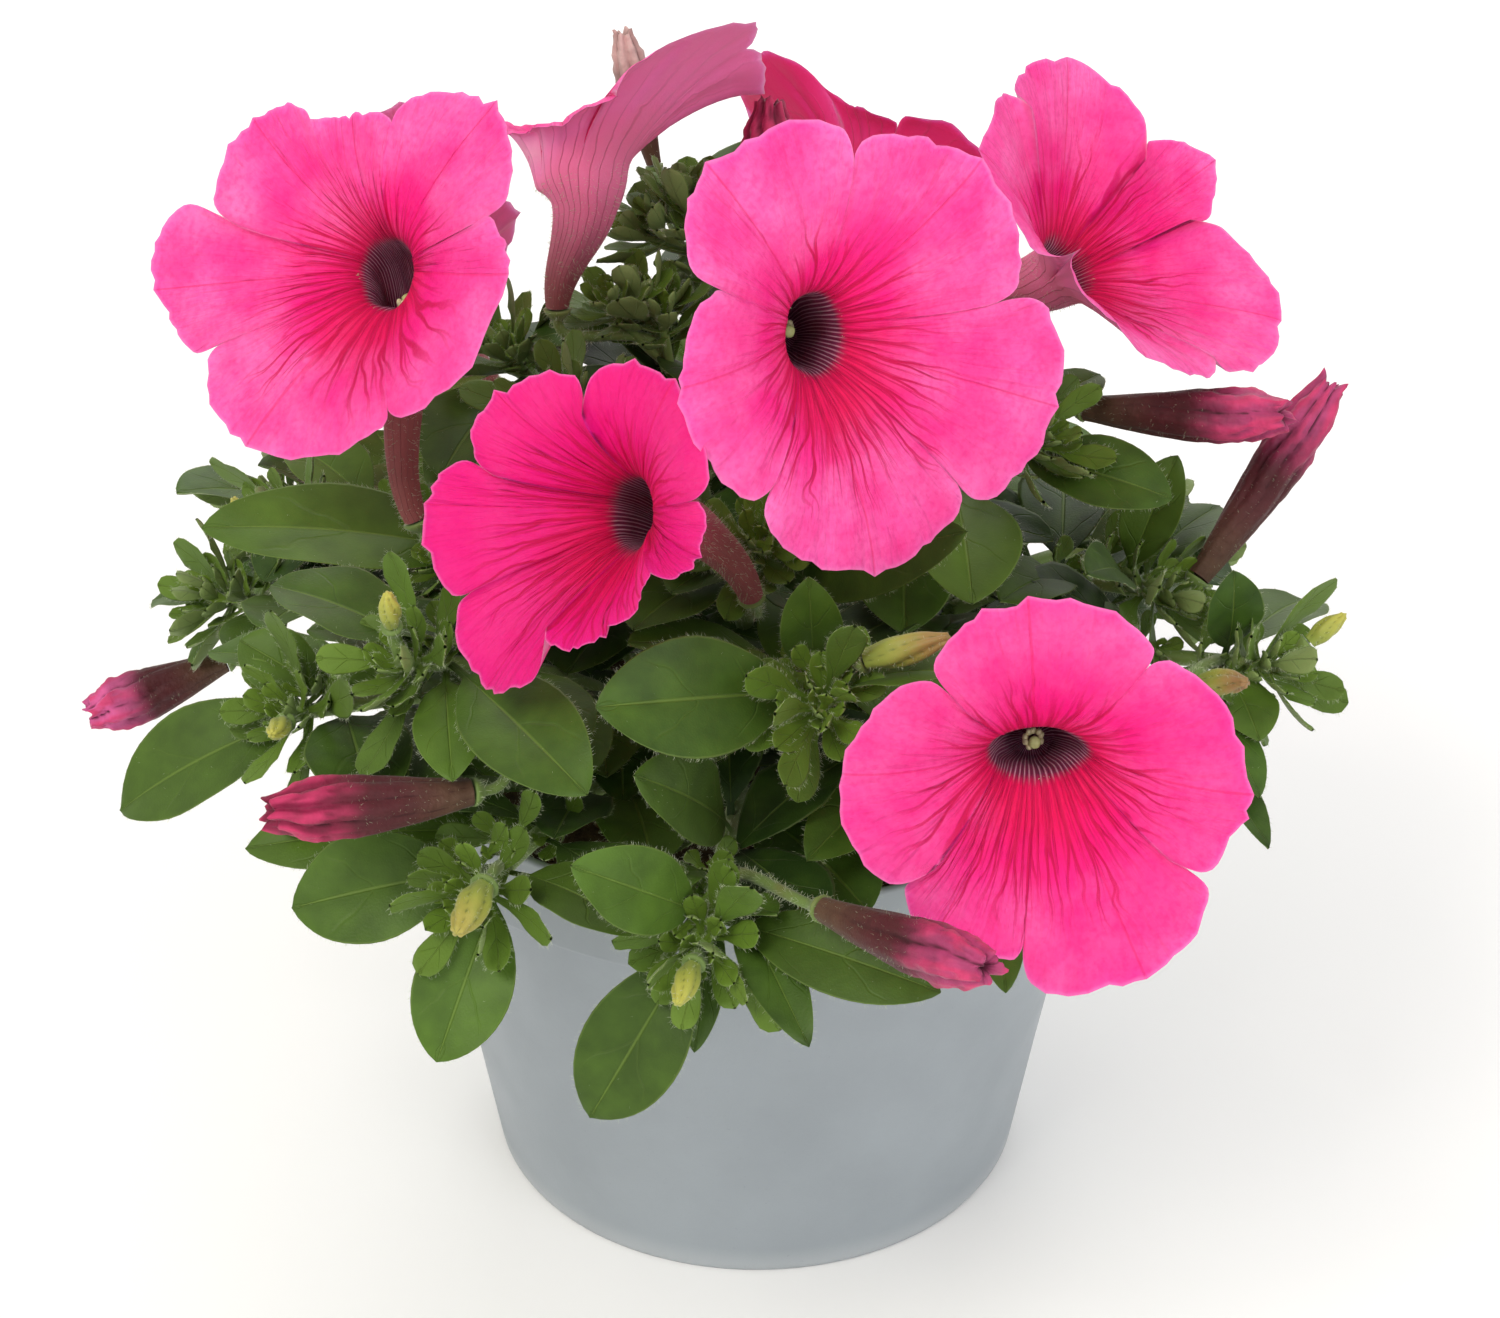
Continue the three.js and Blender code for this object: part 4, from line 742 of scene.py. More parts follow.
def bladeGrid(spec, small, rng):
    root, tip, width = spec["root"], spec["tip"], spec["width"]
    length = float(np.linalg.norm(tip - root))
    along = (tip - root) / length
    up = acrossOf(along, vec(spec["face"]))
    side = np.cross(along, up)
    shares = 1 - (1 - np.linspace(0, 1, blade["smallRows" if small else "largeRows"])) ** blade["crowding"]
    shares[-1] = 0.999
    rib = [root, mix(root, tip, 0.5) + up * spec.get("bow", blade["bow"]) * length, tip]
    centre, normal = bezier(rib, shares), acrossOf(tangent(rib, shares), up)

    # q runs from edge to edge over the upper side and back under it
    right = blade["smallColumns" if small else "largeColumns"]
    q = np.array([*[-x for x in right[:0:-1]], *right])
    q = np.concatenate([q, q[-2:0:-1]])
    above = np.ones(len(q))
    above[len(right) * 2 - 1:] = -1
    half = halfWidths(shares, width, spec.get("shape", "ovate"))[:, None]
    broad = np.minimum(half / 3, 1)
    fold, sway = spec.get("fold", blade["fold"]), rng.uniform(-1, 1, 3)
    twist = (blade["twist"] * sway[0] * np.sin(shares * math.pi))[:, None]
    margin = wavy(shares[:, None] * turn + (q < 0) * 2.0, int(rng.integers(1e6)), (1, 2, 3))
    lift = np.sqrt((q * half) ** 2 + blade["foldRadius"] ** 2) - blade["foldRadius"]
    lift = lift * fold + q * half * twist + margin * q ** 2 * blade["wave"] * broad
    thick = blade["thickness"] * (blade["smallThinner"] if small else 1) * (1 - q ** 2) + blade["edge"]
    groove = np.exp(-((q * half) / blade["ribWidth"]) ** 2) * broad
    lift = lift + above * thick - groove * np.where(above > 0, blade["grooveDepth"], blade["ribDepth"])
    points = centre[:, None] + side * (q * half)[..., None] + normal[:, None] * lift[..., None]
    uv = np.stack(np.broadcast_arrays(q[None, :], shares[:, None]), -1)
    upper = np.where(np.abs(q) > 0.99, 0.75, (above > 0).astype(float))
    return points, uv, upper, side, q


def addBlade(growth, spec, small, rng, tone, youth, hairLength, hairGap):
    points, uv, upper, side, q = bladeGrid(spec, small, rng)
    growth.grid(points, uv, slot=0, tone=tone, youth=youth, upper=upper)
    for edge in (-1, 1):
        line = points[:, int(np.argmin(np.abs(q - edge)))]
        steps = np.linalg.norm(np.diff(line, axis=0), axis=1)
        walked = np.concatenate([[0], np.cumsum(steps)])
        count = max(4, int(steps.sum() / hairGap))
        spots = np.sort(rng.uniform(0, steps.sum(), count))
        roots = np.stack([np.interp(spots, walked, line[:, i]) for i in range(3)], 1)
        headings = unit(side * edge + 0.5 * unit(line[-1] - line[0]) + rng.normal(size=roots.shape) * 0.35)
        growth.hairs(roots, headings, hairLength * rng.uniform(0.6, 1.2, count), fuzz["marginWidth"], 2, rng)
    if not small:
        addFuzz(growth, points, rng, length=hairLength * 0.5, **down["leaf"])


stemSkin = dict(sides=10, rows=34, domeFrom=0.97, slimmer=0.97, knuckle=0.12, knuckleLength=0.012, below=0.3)


def addStem(growth, shoot, rng):
    look, domeFrom = stemSkin, stemSkin["domeFrom"]
    shares = np.concatenate([np.linspace(0, domeFrom, look["rows"]), [0.98, 0.99, 0.997, 1.0]])
    dome = np.clip(1 - ((shares - domeFrom) / 0.0302) ** 2 * (shares > domeFrom), 0.01, 1)
    radii = mix(stem["foot"], stem["tip"], shares) * np.sqrt(dome)
    swell = sum(np.exp(-((shares - joint) / look["knuckleLength"]) ** 2) for joint in stem["joints"])
    radii = radii * look["slimmer"] + look["knuckle"] * swell
    rings = tubeGrid(stemLine(shoot), shares, radii, stemHint(shoot), look["sides"])
    buried = rings[:1].copy()
    buried[..., 2] = stem["buried"] + look["below"]
    rings = np.concatenate([buried, rings])
    growth.grid(rings, slot=1)
    addFuzz(growth, rings[2:], rng, **down["stem"])


stalkSkin = dict(
    sides=10, rows=16, foot=0.95, tip=0.8, cupFoot=0.85, cupRows=(0.15, 0.4, 0.7, 1.0), seatRim=0.4,
)


def addStalk(growth, stalk, rng):
    # The stalk widens into the cup of the calyx, which the flower stands in
    head, look = stalk["head"], stalkSkin
    shares = np.linspace(0, 1, look["rows"])
    radii = mix(look["foot"], look["tip"], shares)
    rings = tubeGrid(stalkLine(head, stalk["root"]), shares, radii, stalkHint, look["sides"])
    seat = min(calyx["cup"], head["seat"] + look["seatRim"])
    spots = [(calyx["cupLength"] * (1 - share), mix(look["cupFoot"], seat, math.sin(share * math.pi / 2)))
             for share in look["cupRows"]]
    cup = []
    for back, radius in spots:
        at = calyxFrame(head, back)
        cup.append(at["centre"] + outwardOf(at, around(look["sides"])) * radius)
    at = calyxFrame(head, 0.1)
    cup.append(at["centre"] + outwardOf(at, around(look["sides"])) * seat * 0.3)
    rings = np.concatenate([rings, np.array(cup)])
    growth.grid(rings, slot=1)
    addFuzz(growth, rings[1:-1], rng, **down["stalk"])
    for spec in stalk["sepals"]:
        addBlade(growth, spec, True, rng, 0.35, 0.5, *marginHair["sepal"])


rosette = dict(
    leaves=15, sideLeaves=7, step=2.4, shortest=3.5, longest=12.5, upright=0.12, flat=1.3, drop=5.0,
    upward=0.75, sides=((0.95, 0.85), (0.87, 0.8), (0.73, 0.65)), reach=3.5,
)
# Side tufts on short stalks, between the flowers at the top of the mound
sideTufts = [
    dict(shoot="inner_back", at=0.9, spot=(-19, 25, 156), size=1.15),
    dict(shoot="inner_back", at=0.8, spot=(-12, 34, 159), size=1.3),
    dict(shoot="top", at=0.8, spot=(-23, 7, 152), size=0.8),
    dict(shoot="top", at=0.7, spot=(-15, 9, 149), size=1.0),
]
undergrowth = dict(places=(0.2, 0.3, 0.4, 0.5, 0.6, 0.7), shortest=19, longest=29, slimness=0.52)


def rosetteLeaves(at, centre, count, size, rng):
    # Youngest leaves stand upright in the middle, older ones lie around them
    heading = unit(at["forward"] + vec(0, 0, rosette["upward"]))
    right = acrossOf(heading, vec(stalkHint))
    up = np.cross(heading, right)
    for k in range(count):
        age = (k + 0.5) / count
        angle = k * rosette["step"] + rng.uniform(-0.2, 0.2)
        polar = mix(rosette["upright"], rosette["flat"], age ** 0.8) + rng.uniform(-0.15, 0.15)
        out = right * math.cos(angle) + up * math.sin(angle)
        length = mix(rosette["shortest"], rosette["longest"], age) * size * rng.uniform(0.85, 1.15)
        root = centre - at["forward"] * rosette["drop"] * age * size + out * 0.6
        tip = root + (heading * math.cos(polar) + out * math.sin(polar)) * length
        face = heading * math.sin(polar) - out * math.cos(polar)
        yield age, dict(
            root=root, tip=tip, width=1.3 + length * 0.27, face=face, bow=-0.14, fold=0.2, shape="spoon")


def addRosettes(growth, shoot, rng):
    tip = stemFrame(shoot, 1)
    spots = [(tip, tip["centre"], rosette["leaves"], 1)]
    for share, size in rosette["sides"]:
        at = stemFrame(shoot, share)
        side = outwardOf(at, rng.uniform(0, turn)) + vec(0, 0, 0.5)
        spots.append((at, at["centre"] + unit(side) * rosette["reach"] * size, rosette["sideLeaves"], size))
    for extra in sideTufts:
        if extra["shoot"] == shoot["name"]:
            at, spot = stemFrame(shoot, extra["at"]), vec(extra["spot"])
            path = [at["centre"], mix(at["centre"], spot, 0.5) - vec(0, 0, 2), spot]
            growth.grid(tubeGrid(path, np.linspace(0, 1, 8), np.full(8, 0.8), stalkHint, 6), slot=1)
            at["forward"] = unit(spot - at["centre"])
            spots.append((at, spot, rosette["leaves"], extra["size"]))
    for at, centre, count, size in spots:
        for age, spec in rosetteLeaves(at, centre, count, size, rng):
            addBlade(growth, spec, True, rng, rng.uniform(0.25, 0.8), 0.8 - 0.5 * age, *marginHair["young"])


def addUndergrowth(growth, shoot, rng):
    # Leaves between the shoots, given a low tone: their darker green is painted shade
    for share in undergrowth["places"]:
        at = stemFrame(shoot, share)
        angle, pitch = rng.uniform(0, turn), rng.uniform(-0.1, 0.7)
        flat = vec(math.cos(angle), math.sin(angle), 0)
        length = rng.uniform(undergrowth["shortest"], undergrowth["longest"])
        tip = at["centre"] + (flat * math.cos(pitch) + vec(0, 0, math.sin(pitch))) * length
        width = length * undergrowth["slimness"]
        spec = dict(root=at["centre"], tip=tip, width=width, face=vec(0, 0, 1) - 0.4 * flat)
        # The low tone range is painted shade
        addBlade(growth, spec, True, rng, rng.uniform(0, 0.3), 0.0, *marginHair["shaded"])


def buildShoot(index, shoot, grown, materials):
    rng = np.random.default_rng(100 + index)
    growth = Growth("tone", "youth", "upper")
    addStem(growth, shoot, rng)
    addRosettes(growth, shoot, rng)
    addUndergrowth(growth, shoot, rng)
    for spec in grown:
        if spec["kind"] == "stalk":
            addStalk(growth, spec, rng)
        elif spec["kind"] == "tuft":
            youth = 0.75 - 0.2 * spec["level"] + rng.uniform(-0.1, 0.1)
            addBlade(growth, spec, True, rng, rng.uniform(0.3, 0.8), youth, *marginHair["young"])
        else:
            youth = rng.uniform(0.0, 0.25)
            addBlade(growth, spec, False, rng, rng.uniform(0.1, 0.7), youth, *marginHair["large"])
    growth.finish("foliage_" + shoot["name"], materials, "shoot_" + shoot["name"], "leaf_and_stem")


# Flowers
tube = dict(foot=1.8, wall=0.75, floorAt=0.6, rows=14, ribs=0.05, liningRibs=0.09)
tubeHint = (1, 0, 0)
trumpetSwell = (0.42, 0.62, 0.82, 1, 0.98, 0.55)
budSwell = (0.62, 1, 0.9, 0.35)
limb = dict(
    columns=34, farColumns=24, rows=25, thickness=0.3, ruffle=1.2, bowl=1.3, tilt=0.9, pucker=0.4, frill=0.3,
    crease=0.6, pleat=2.2, overlap=2.5, overlapLift=0.55, nick=0.8, mucro=0.5, uneven=0.7, blunt=2.4,
    shoulder=0.45, notchDepth=4.0,
)
plainCup = dict(
    depth=6, mouth=7.2, curve=2.2, waist=2.9, throat=4.6, rich=0.3, shift=(0, 0), squash=(1, 1), dip=(0, 0),
)
# The middles of the blooms, where they differ from the plain one
cups = dict(
    left=dict(depth=9, mouth=4.6, rich=0.1, shift=(0.5, 3), squash=(0.9, 1.1)),
    right=dict(depth=8, mouth=4.6, rich=0.0, shift=(-3.2, 1.8), squash=(0.85, 1.15)),
    centre=dict(depth=11, mouth=4.4, curve=1.9, rich=1, shift=(2.5, 2), squash=(0.7, 1.1)),
    front_right=dict(depth=7.5, mouth=4.8, curve=2.6, rich=0.5, shift=(-0.3, 3.8), squash=(1.35, 0.66)),
    far_right=dict(depth=15, mouth=4.8, curve=1.25, rich=0.1),
    top=dict(depth=12, mouth=7.0, curve=1.5, waist=3.3, throat=5.0, rich=0, shift=(-9, 0), dip=(238, 5)),
    back_top=dict(rich=1),
    back_left_top=dict(rich=0.2),
)
# How blunt each petal is, in the order of its bloom's lobes: low for a pointed petal, high for a square one,
# and as a pair where the side before the tip differs from the side after it
petalBluntness = dict(
    left=((0.45, 2.4), (2.4, 0.8), 2.4, (0.8, 3), (3, 0.7), (3, 0.45)), right=(2, 2.4, 2.2, 2.4, 2.4),
    centre=(2.4, 3, 2.6, 1.8, (2, 1.4), 3), front_right=(3, 3, 3, 3, 2.6), far_right=(2.4, 0.8, 2.2, 3, 2.6),
)
def cupOf(bloom):
    return {**plainCup, **cups.get(bloom["name"], {})}


def tubeLine(bloom, cup):
    facing = unit(vec(bloom["facing"]))
    right = acrossOf(facing, vec(1, 0, 0))
    mouth = vec(bloom["centre"]) - facing * cup["depth"] + right * cup["shift"][0]
    mouth, foot = mouth + np.cross(facing, right) * cup["shift"][1], vec(bloom["foot"])
    reach = float(np.linalg.norm(mouth - foot)) * 0.38
    return [foot, foot + unit(vec(bloom["rise"])) * reach, mouth - facing * reach, mouth]


def rimOf(bloom, rng):
    # Columns of the rim, petal by petal: share t across the petal from notch to notch, angle, radius, lift,
    # hem, overlap, depth of the notch beside it, seed and number of the petal
    lobes, notches, columns = bloom["lobes"], bloom["notches"], []
    known = np.array(sorted((angle % 360, lift) for angle, _, lift in (*lobes, *notches)))
    overSide = rng.choice((-1, 1), len(lobes))
    count = limb["columns" if bloom["name"] in petalBluntness else "farColumns"]
    t = np.sin(np.linspace(-1, 1, count + 1) * math.pi / 2)
    sign = np.where(t < 0, -1, 1)
    bluntness = petalBluntness.get(bloom["name"], [limb["blunt"]] * len(lobes))
    for i, (tip, radius, _) in enumerate(lobes):
        low, high, after = notches[i - 1], notches[i], lobes[(i + 1) % len(lobes)]
        span = np.where(t < 0, (tip - low[0]) % 360, (high[0] - tip) % 360)
        notch = np.where(t < 0, low[1], high[1])
        shallow = min(radius, after[1]) - high[1], min(radius, lobes[i - 1][1]) - low[1]
        deep = np.clip(np.where(t < 0, shallow[1], shallow[0]) / limb["notchDepth"], 0, 1)
        blunt = np.where(t < 0, *np.broadcast_to(bluntness[i], 2))
        angle, rim = tip + t * span, mix(notch, radius, (1 - np.abs(t) ** blunt) ** limb["shoulder"])
        for _ in range(3):
            rim[1:-1] = (rim[:-2] + 2 * rim[1:-1] + rim[2:]) / 4
        hem = np.sin(math.pi * np.clip((np.abs(t) - 0.62) / 0.38, 0, 1)) * sign * deep
        over = hem * np.where(t < 0, overSide[i - 1], -overSide[i])
        lift = np.interp(angle, *known.T, period=360)
        columns.append(np.stack(np.broadcast_arrays(
            t, np.radians(angle), rim, lift, hem, over, deep, rng.uniform(), i), 1)[:-1])
    return np.concatenate(columns)


def soften(rows, first, last):
    for _ in range(5):
        rows[first:last] = (rows[first - 1:last - 1] + 2 * rows[first:last] + rows[first + 1:last + 1]) / 4
    return rows


def tubeRings(line, shares, radii, angle, squash):
    at, last = frameAlong(line, shares, tubeHint), smooth(0.5, 1, shares)[:, None]
    right = at["right"][:, None] * (np.cos(angle) * mix(1, squash[0], last))[..., None]
    up = at["up"][:, None] * (np.sin(angle) * mix(1, squash[1], last))[..., None]
    return at["centre"][:, None] + (right + up) * radii[:, None, None]


def openPetals(at, cup, rim, rng):
    # The petals' upper side and underside from the mouth to the rim, with each point's distance from the
    # middle and each row's share of the way out
    look = limb
    t, angle, radius, lift, hem, over, deep, _, lobe = rim.T
    seeds = rng.integers(1e6, size=6)
    sway = rng.uniform((-look["bowl"], -look["tilt"]), (look["bowl"] * 0.6, look["tilt"]), (9, 2))
    bowl, tilt = sway[lobe.astype(int)].T
    nicks = look["nick"] * wavy(angle, seeds[0], (31, 43, 59, 77)) * (1 - np.abs(t) ** 3)
    radius = radius + nicks + look["mucro"] * np.exp(-(np.abs(t) / 0.05) ** 2)
    radius = radius + look["uneven"] * wavy(angle, seeds[5], (8, 13, 19)) * (1 - t ** 4)
    f = np.linspace(0, 1, look["rows"])[:, None]
    pleat = look["pleat"] * deep * np.exp(-((1 - np.abs(t)) / 0.14) ** 2)
    crease = np.exp(-(np.abs(t) / 0.07) ** 2) + pleat
    height = cup["depth"] * (1 - (1 - f) ** cup["curve"]) + (lift + wavy(angle, seeds[2], (2, 3, 4))) * f ** 2
    height = height + look["ruffle"] * wavy(angle, seeds[1], (6, 9, 13, 17)) * f ** 3
    height = height + bowl * (1 - t ** 2) * f ** 1.5 + tilt * t * (1 - np.abs(t) ** 6) * f ** 2
    height = height + look["pucker"] * wavy(angle, seeds[3], (19, 26, 34)) * f * (1 - f) * 4
    height = height + look["frill"] * wavy(angle, seeds[4], (27, 36, 47)) * f ** 7
    height = height - look["crease"] * crease * np.sin(math.pi * f) * 0.8
    height = height + over * look["overlapLift"] * f ** 2
    dipAngle, dip = cup["dip"]
    height = height - dip * np.clip(np.cos(angle - math.radians(dipAngle)), 0, 1) ** 2 * f ** 1.2
    swing = angle + np.radians(look["overlap"]) * hem * f ** 3
    wide, tall = [mix(squash * cup["mouth"], radius, f) for squash in cup["squash"]]
    aside = cup["shift"] * (1 - (1 - f) ** 1.4)
    across = at["right"] * (np.cos(swing) * wide - aside[:, :1])[..., None]
    across = across + at["up"] * (np.sin(swing) * tall - aside[:, 1:])[..., None]
    upper = at["centre"] + across + at["forward"] * height[..., None]
    thin = mix(tube["wall"], look["thickness"], smooth(0, 0.25, f)) * (1 - smooth(0.9, 1, f) * 0.85)
    return upper, upper - at["forward"] * thin[..., None], mix(cup["mouth"], radius, f), f[:, 0]


def buildCorolla(index, bloom, materials):
    rng = np.random.default_rng(300 + index)
    growth, cup = Growth("reach", "lobeSeed", "rich", "lower"), cupOf(bloom)
    line, rim = tubeLine(bloom, cup), rimOf(bloom, rng)
    (t, angle), seed = rim.T[:2], rim.T[7]
    upper, under, reach, f = openPetals(frameAlong(line, 1.0, tubeHint), cup, rim, rng)

    # Outside of the tube, from its foot to the petals' undersides
    inShares = np.linspace(tube["floorAt"], 1, tube["rows"])
    shares = np.concatenate([np.linspace(0, tube["floorAt"], tube["rows"])[:-1], inShares])
    radii = np.interp(shares, (0, 0.4, 0.75, 1), (
        tube["foot"], cup["waist"], cup["throat"], cup["mouth"] + tube["wall"]))
    rings = tubeRings(line, shares, radii, angle, cup["squash"])
    ribs = tube["ribs"] * np.cos(angle * 5 + 0.7) * np.sin(shares * math.pi)[:, None]
    rings = rings + (rings - bezier(line, shares)[:, None]) * ribs[..., None]
    outside = soften(np.concatenate([rings, under[2::2]]), len(shares) - 3, len(shares) + 3)

    # Inside, from the floor of the throat to the petals' upper sides
    radii = np.interp(inShares, (0.6, 0.75, 1), (
        cup["waist"] - 0.2, cup["throat"] - tube["wall"], cup["mouth"]))
    lining = tubeRings(line, inShares, radii, angle, cup["squash"])
    swell = np.sin(np.linspace(0, 1, len(inShares)) * math.pi)[:, None, None]
    ribs = tube["liningRibs"] * np.cos(angle * 5)[None, :, None] * swell
    lining = lining + (lining - bezier(line, inShares)[:, None]) * ribs
    floor = mix(bezier(line, tube["floorAt"]), lining[:1], 0.05)
    inside = soften(np.concatenate([floor, lining[:-1], upper]), len(inShares) - 3, len(inShares) + 6)
    depthIn = np.concatenate([[tube["floorAt"] - 0.02], inShares[:-1]]) - 1

    # Across, the uv is a petal's own share t, which jumps back at every notch
    nextT = np.roll(t, -1)
    nextT = np.where(nextT < t, 1.0, nextT)
    lower = 0.5 - 0.5 * np.sin(angle)
    for points, depth, used, slot, flip in (
            (inside, depthIn, slice(None), 0, True), (outside, shares - 1, slice(2, None, 2), 1, False)):
        inTube = (depth * lengthOf(line) + cup["mouth"])[:, None] + 0 * angle
        reached = np.concatenate([inTube, reach[used]])
        rows = np.concatenate([depth, f[used]])[:, None]
        uv, uvNext = [np.stack(np.broadcast_arrays(share[None, :], rows), -1) for share in (t, nextT)]
        growth.grid(
            points, uv, uvNext, flip=flip, slot=slot, reach=reached, lobeSeed=seed, rich=cup["rich"], lower=lower)
    addFuzz(growth, rings[::2, ::8], rng, **down["tube"])
    growth.finish("petals_" + bloom["name"], materials, "corolla_" + bloom["name"], "petal")


petalLook = dict(
    pink="#f01c80", outer="#fd57a6", rich="#e00074", notch="#ff8cc8", wash="#dc0850", vein="#bc0648",
    throat="#702646", stripe="#e2b4c6", haze="#ffd0e8", roughness=0.6, specular=0.15, sheen=0.03,
    sheenRoughness=0.4,
    translucence=dict(Subsurface_Weight=0.3, Subsurface_Scale=1.5 * mm, Subsurface_Radius=(1.2, 0.25, 0.55)),
    richness=0.8, waver=9.0, swing=1.4, grain=0.6, grainDepth=0.1, foldDepth=0.9, ribDepth=0.2, veinDepth=0.1,
    # Cloudy patches: size, detail, strength and colour
    clouds=((13.0, 2.0, 0.45, "notch"), (7.0, 3.0, 0.6, "pink"), (0.9, 2.0, 0.35, "rich")),
    # Thick and thin veins: how many cross a petal, how wide they are, and where they fork and fade
    veins=(
        dict(count=6.0, width=0.33, fork=(9.0, 17.0), fade=(8.0, 17.0), strength=0.9),
        dict(count=14.0, width=0.18, fork=(10.0, 20.0), fade=(6.0, 13.0), strength=0.65),
    ),
)


def petalFace():
    # Velvety upper side of the petals: crimson veins run out of a maroon throat into hot pink; the throat's
    # maroon is deepened with painted shade
    look = petalLook
    material, tree = newMaterial(
        "petunia petal, velvet upper side", Roughness=look["roughness"], Specular_IOR_Level=look["specular"],
        Sheen_Weight=look["sheen"], Sheen_Roughness=look["sheenRoughness"], Sheen_Tint=linear(look["haze"]),
        **look["translucence"])
    place = addNode(tree, "TexCoord").outputs["Object"]
    spot = addNode(tree, "SeparateXYZ", [addNode(tree, "UVMap")])
    reach, seed, rich, lower = [addNode(tree, "Attribute", attribute_name=name).outputs["Fac"] for name in (
        "reach", "lobeSeed", "rich", "lower")]
    fromRib = addNode(tree, "Math", [spot.outputs["X"]], operation="ABSOLUTE")
    outward, beside, edge, longer = [
        addNode(tree, "MapRange", steps, interpolation_type="SMOOTHSTEP") for steps in (
            [reach, 10.0, 27.0, 0.0, 1.0], [fromRib, 0.5, 1.0, 0.0, 0.4],
            [spot.outputs["Y"], 0.97, 1.0, 0.0, 0.35], [lower, 0.3, 1.0, 0.0, -4.5])
    ]
    beside = addNode(tree, "Math", [beside, outward], operation="MULTIPLY")
    layers = [(outward, look["outer"]), (beside, look["notch"])]
    for size, detail, strength, shade in look["clouds"]:
        cloud = addNode(tree, "TexNoise", {"Vector": place, "Scale": 1 / (size * mm), "Detail": detail})
        layers.append((addNode(tree, "MapRange", [cloud, 0.42, 0.72, 0.0, strength]), look[shade]))
    layers.append((addNode(tree, "Math", [rich, look["richness"]], operation="MULTIPLY"), look["rich"]))

    # Veins: lines of equal share of the petal that sway, fork twice and each end at a length of their own
    sway = addNode(tree, "TexNoise", {"Vector": place, "Scale": 1 / (look["waver"] * mm), "Detail": 1.5})
    sway = addNode(tree, "Math", [sway, 0.5], operation="SUBTRACT")
    eased = addNode(tree, "Math", [reach, longer], operation="ADD")
    masks = []
    for vein in look["veins"]:
        line = addNode(tree, "Math", [sway, look["swing"], 0.5], operation="MULTIPLY_ADD")
        line = addNode(tree, "Math", [spot.outputs["X"], vein["count"] / 2, line], operation="MULTIPLY_ADD")
        number = addNode(tree, "Math", [line], operation="FLOOR")
        number = addNode(tree, "Math", [seed, 37.0, number], operation="MULTIPLY_ADD")
        luck = addNode(tree, "TexWhiteNoise", {"W": number}, noise_dimensions="1D")
        cell = addNode(tree, "Math", [line], operation="FRACT")
        cell = addNode(tree, "Math", [cell, 0.5], operation="SUBTRACT")
        first, last = vein["fork"]
        for start, end, share in ((first, last, 0.27), (last - 2, last + 8, 0.12)):
            fork = addNode(tree, "MapRange", [reach, start, end, 0.0, share], interpolation_type="SMOOTHSTEP")
            cell = addNode(tree, "Math", [cell], operation="ABSOLUTE")
            cell = addNode(tree, "Math", [cell, fork], operation="SUBTRACT")
        cell = addNode(tree, "Math", [cell], operation="ABSOLUTE")
        away = addNode(tree, "Math", [cell, reach], operation="MULTIPLY")
        broad = vein["width"] * vein["count"]
        thick = addNode(tree, "MapRange", [reach, 6.0, 22.0, broad / 1.26, broad * 0.27])
        away = addNode(tree, "Math", [away, thick], operation="DIVIDE")
        mask = addNode(tree, "MapRange", [away, 0.35, 1.2, 1.0, 0.0], interpolation_type="SMOOTHSTEP")
        ending = addNode(tree, "Math", [luck, -7.0, eased], operation="MULTIPLY_ADD")
        ending = addNode(tree, "Math", [ending, 3.0], operation="ADD")
        fade = addNode(
            tree, "MapRange", [ending, *vein["fade"], vein["strength"], 0.0], interpolation_type="SMOOTHSTEP")
        masks.append(addNode(tree, "Math", [mask, fade], operation="MULTIPLY"))
    veins = addNode(tree, "Math", masks, operation="MAXIMUM")

    # The middle: a crimson wash, a dark throat with pale stripes, and a fine rib down each petal; the throat's
    # dark maroon is partly its own colour and partly painted shade of the deep tube
    ribAway = addNode(tree, "Math", [fromRib, reach], operation="MULTIPLY")
    uneven = addNode(tree, "Math", [sway, 8.0, eased], operation="MULTIPLY_ADD")
    frayed = addNode(tree, "Math", [sway, 4.0, reach], operation="MULTIPLY_ADD")
    stripes = addNode(tree, "Math", [spot.outputs["X"], 5.0], operation="MULTIPLY")
    stripes = addNode(tree, "Math", [stripes, 0.5], operation="PINGPONG")
    rib, wash, maroonThroatAndShade, stripes = [
        addNode(tree, "MapRange", steps, interpolation_type="SMOOTHSTEP") for steps in (
            [ribAway, 0.08, 0.4, 0.35, 0.0], [uneven, 2.5, 12.0, 0.9, 0.0], [frayed, 3.2, 5.6, 1.0, 0.0],
            [stripes, 0.25, 0.5, 0.0, 0.6])
    ]
    # Maroon deep in the throat: partly the petal's own colour, partly painted shade where the tube runs deep
    throat = addNode(tree, "Mix", {0: stripes, 6: look["throat"], 7: look["stripe"]}, data_type="RGBA")
    layers += [(wash, look["wash"]), (rib, look["wash"]), (veins, look["vein"]), (maroonThroatAndShade, throat),
               (edge, look["notch"])]
    pink = look["pink"]
    for share, shade in layers:
        pink = addNode(tree, "Mix", {0: share, 6: pink, 7: shade}, data_type="RGBA")

    fine = addNode(tree, "TexNoise", {"Vector": place, "Scale": 1 / (look["grain"] * mm), "Detail": 2.0})
    across = addNode(tree, "Math", [spot.outputs["X"], 9.0], operation="MULTIPLY")
    along = addNode(tree, "Math", [reach, 0.12], operation="MULTIPLY")
    across = addNode(tree, "CombineXYZ", [across, along, seed])
    folds = addNode(tree, "TexNoise", {"Vector": across, "Scale": 1.0, "Detail": 3.0})
    skin = addNode(tree, "Bump", {"Height": fine, "Distance": look["grainDepth"] * mm})
    for height, depth, sunk in (
            (folds, "foldDepth", False), (rib, "ribDepth", True), (veins, "veinDepth", True)):
        skin = addNode(
            tree, "Bump", {"Height": height, "Distance": look[depth] * mm, "Normal": skin}, invert=sunk)
    return wired(material, Base_Color=pink, Normal=skin)
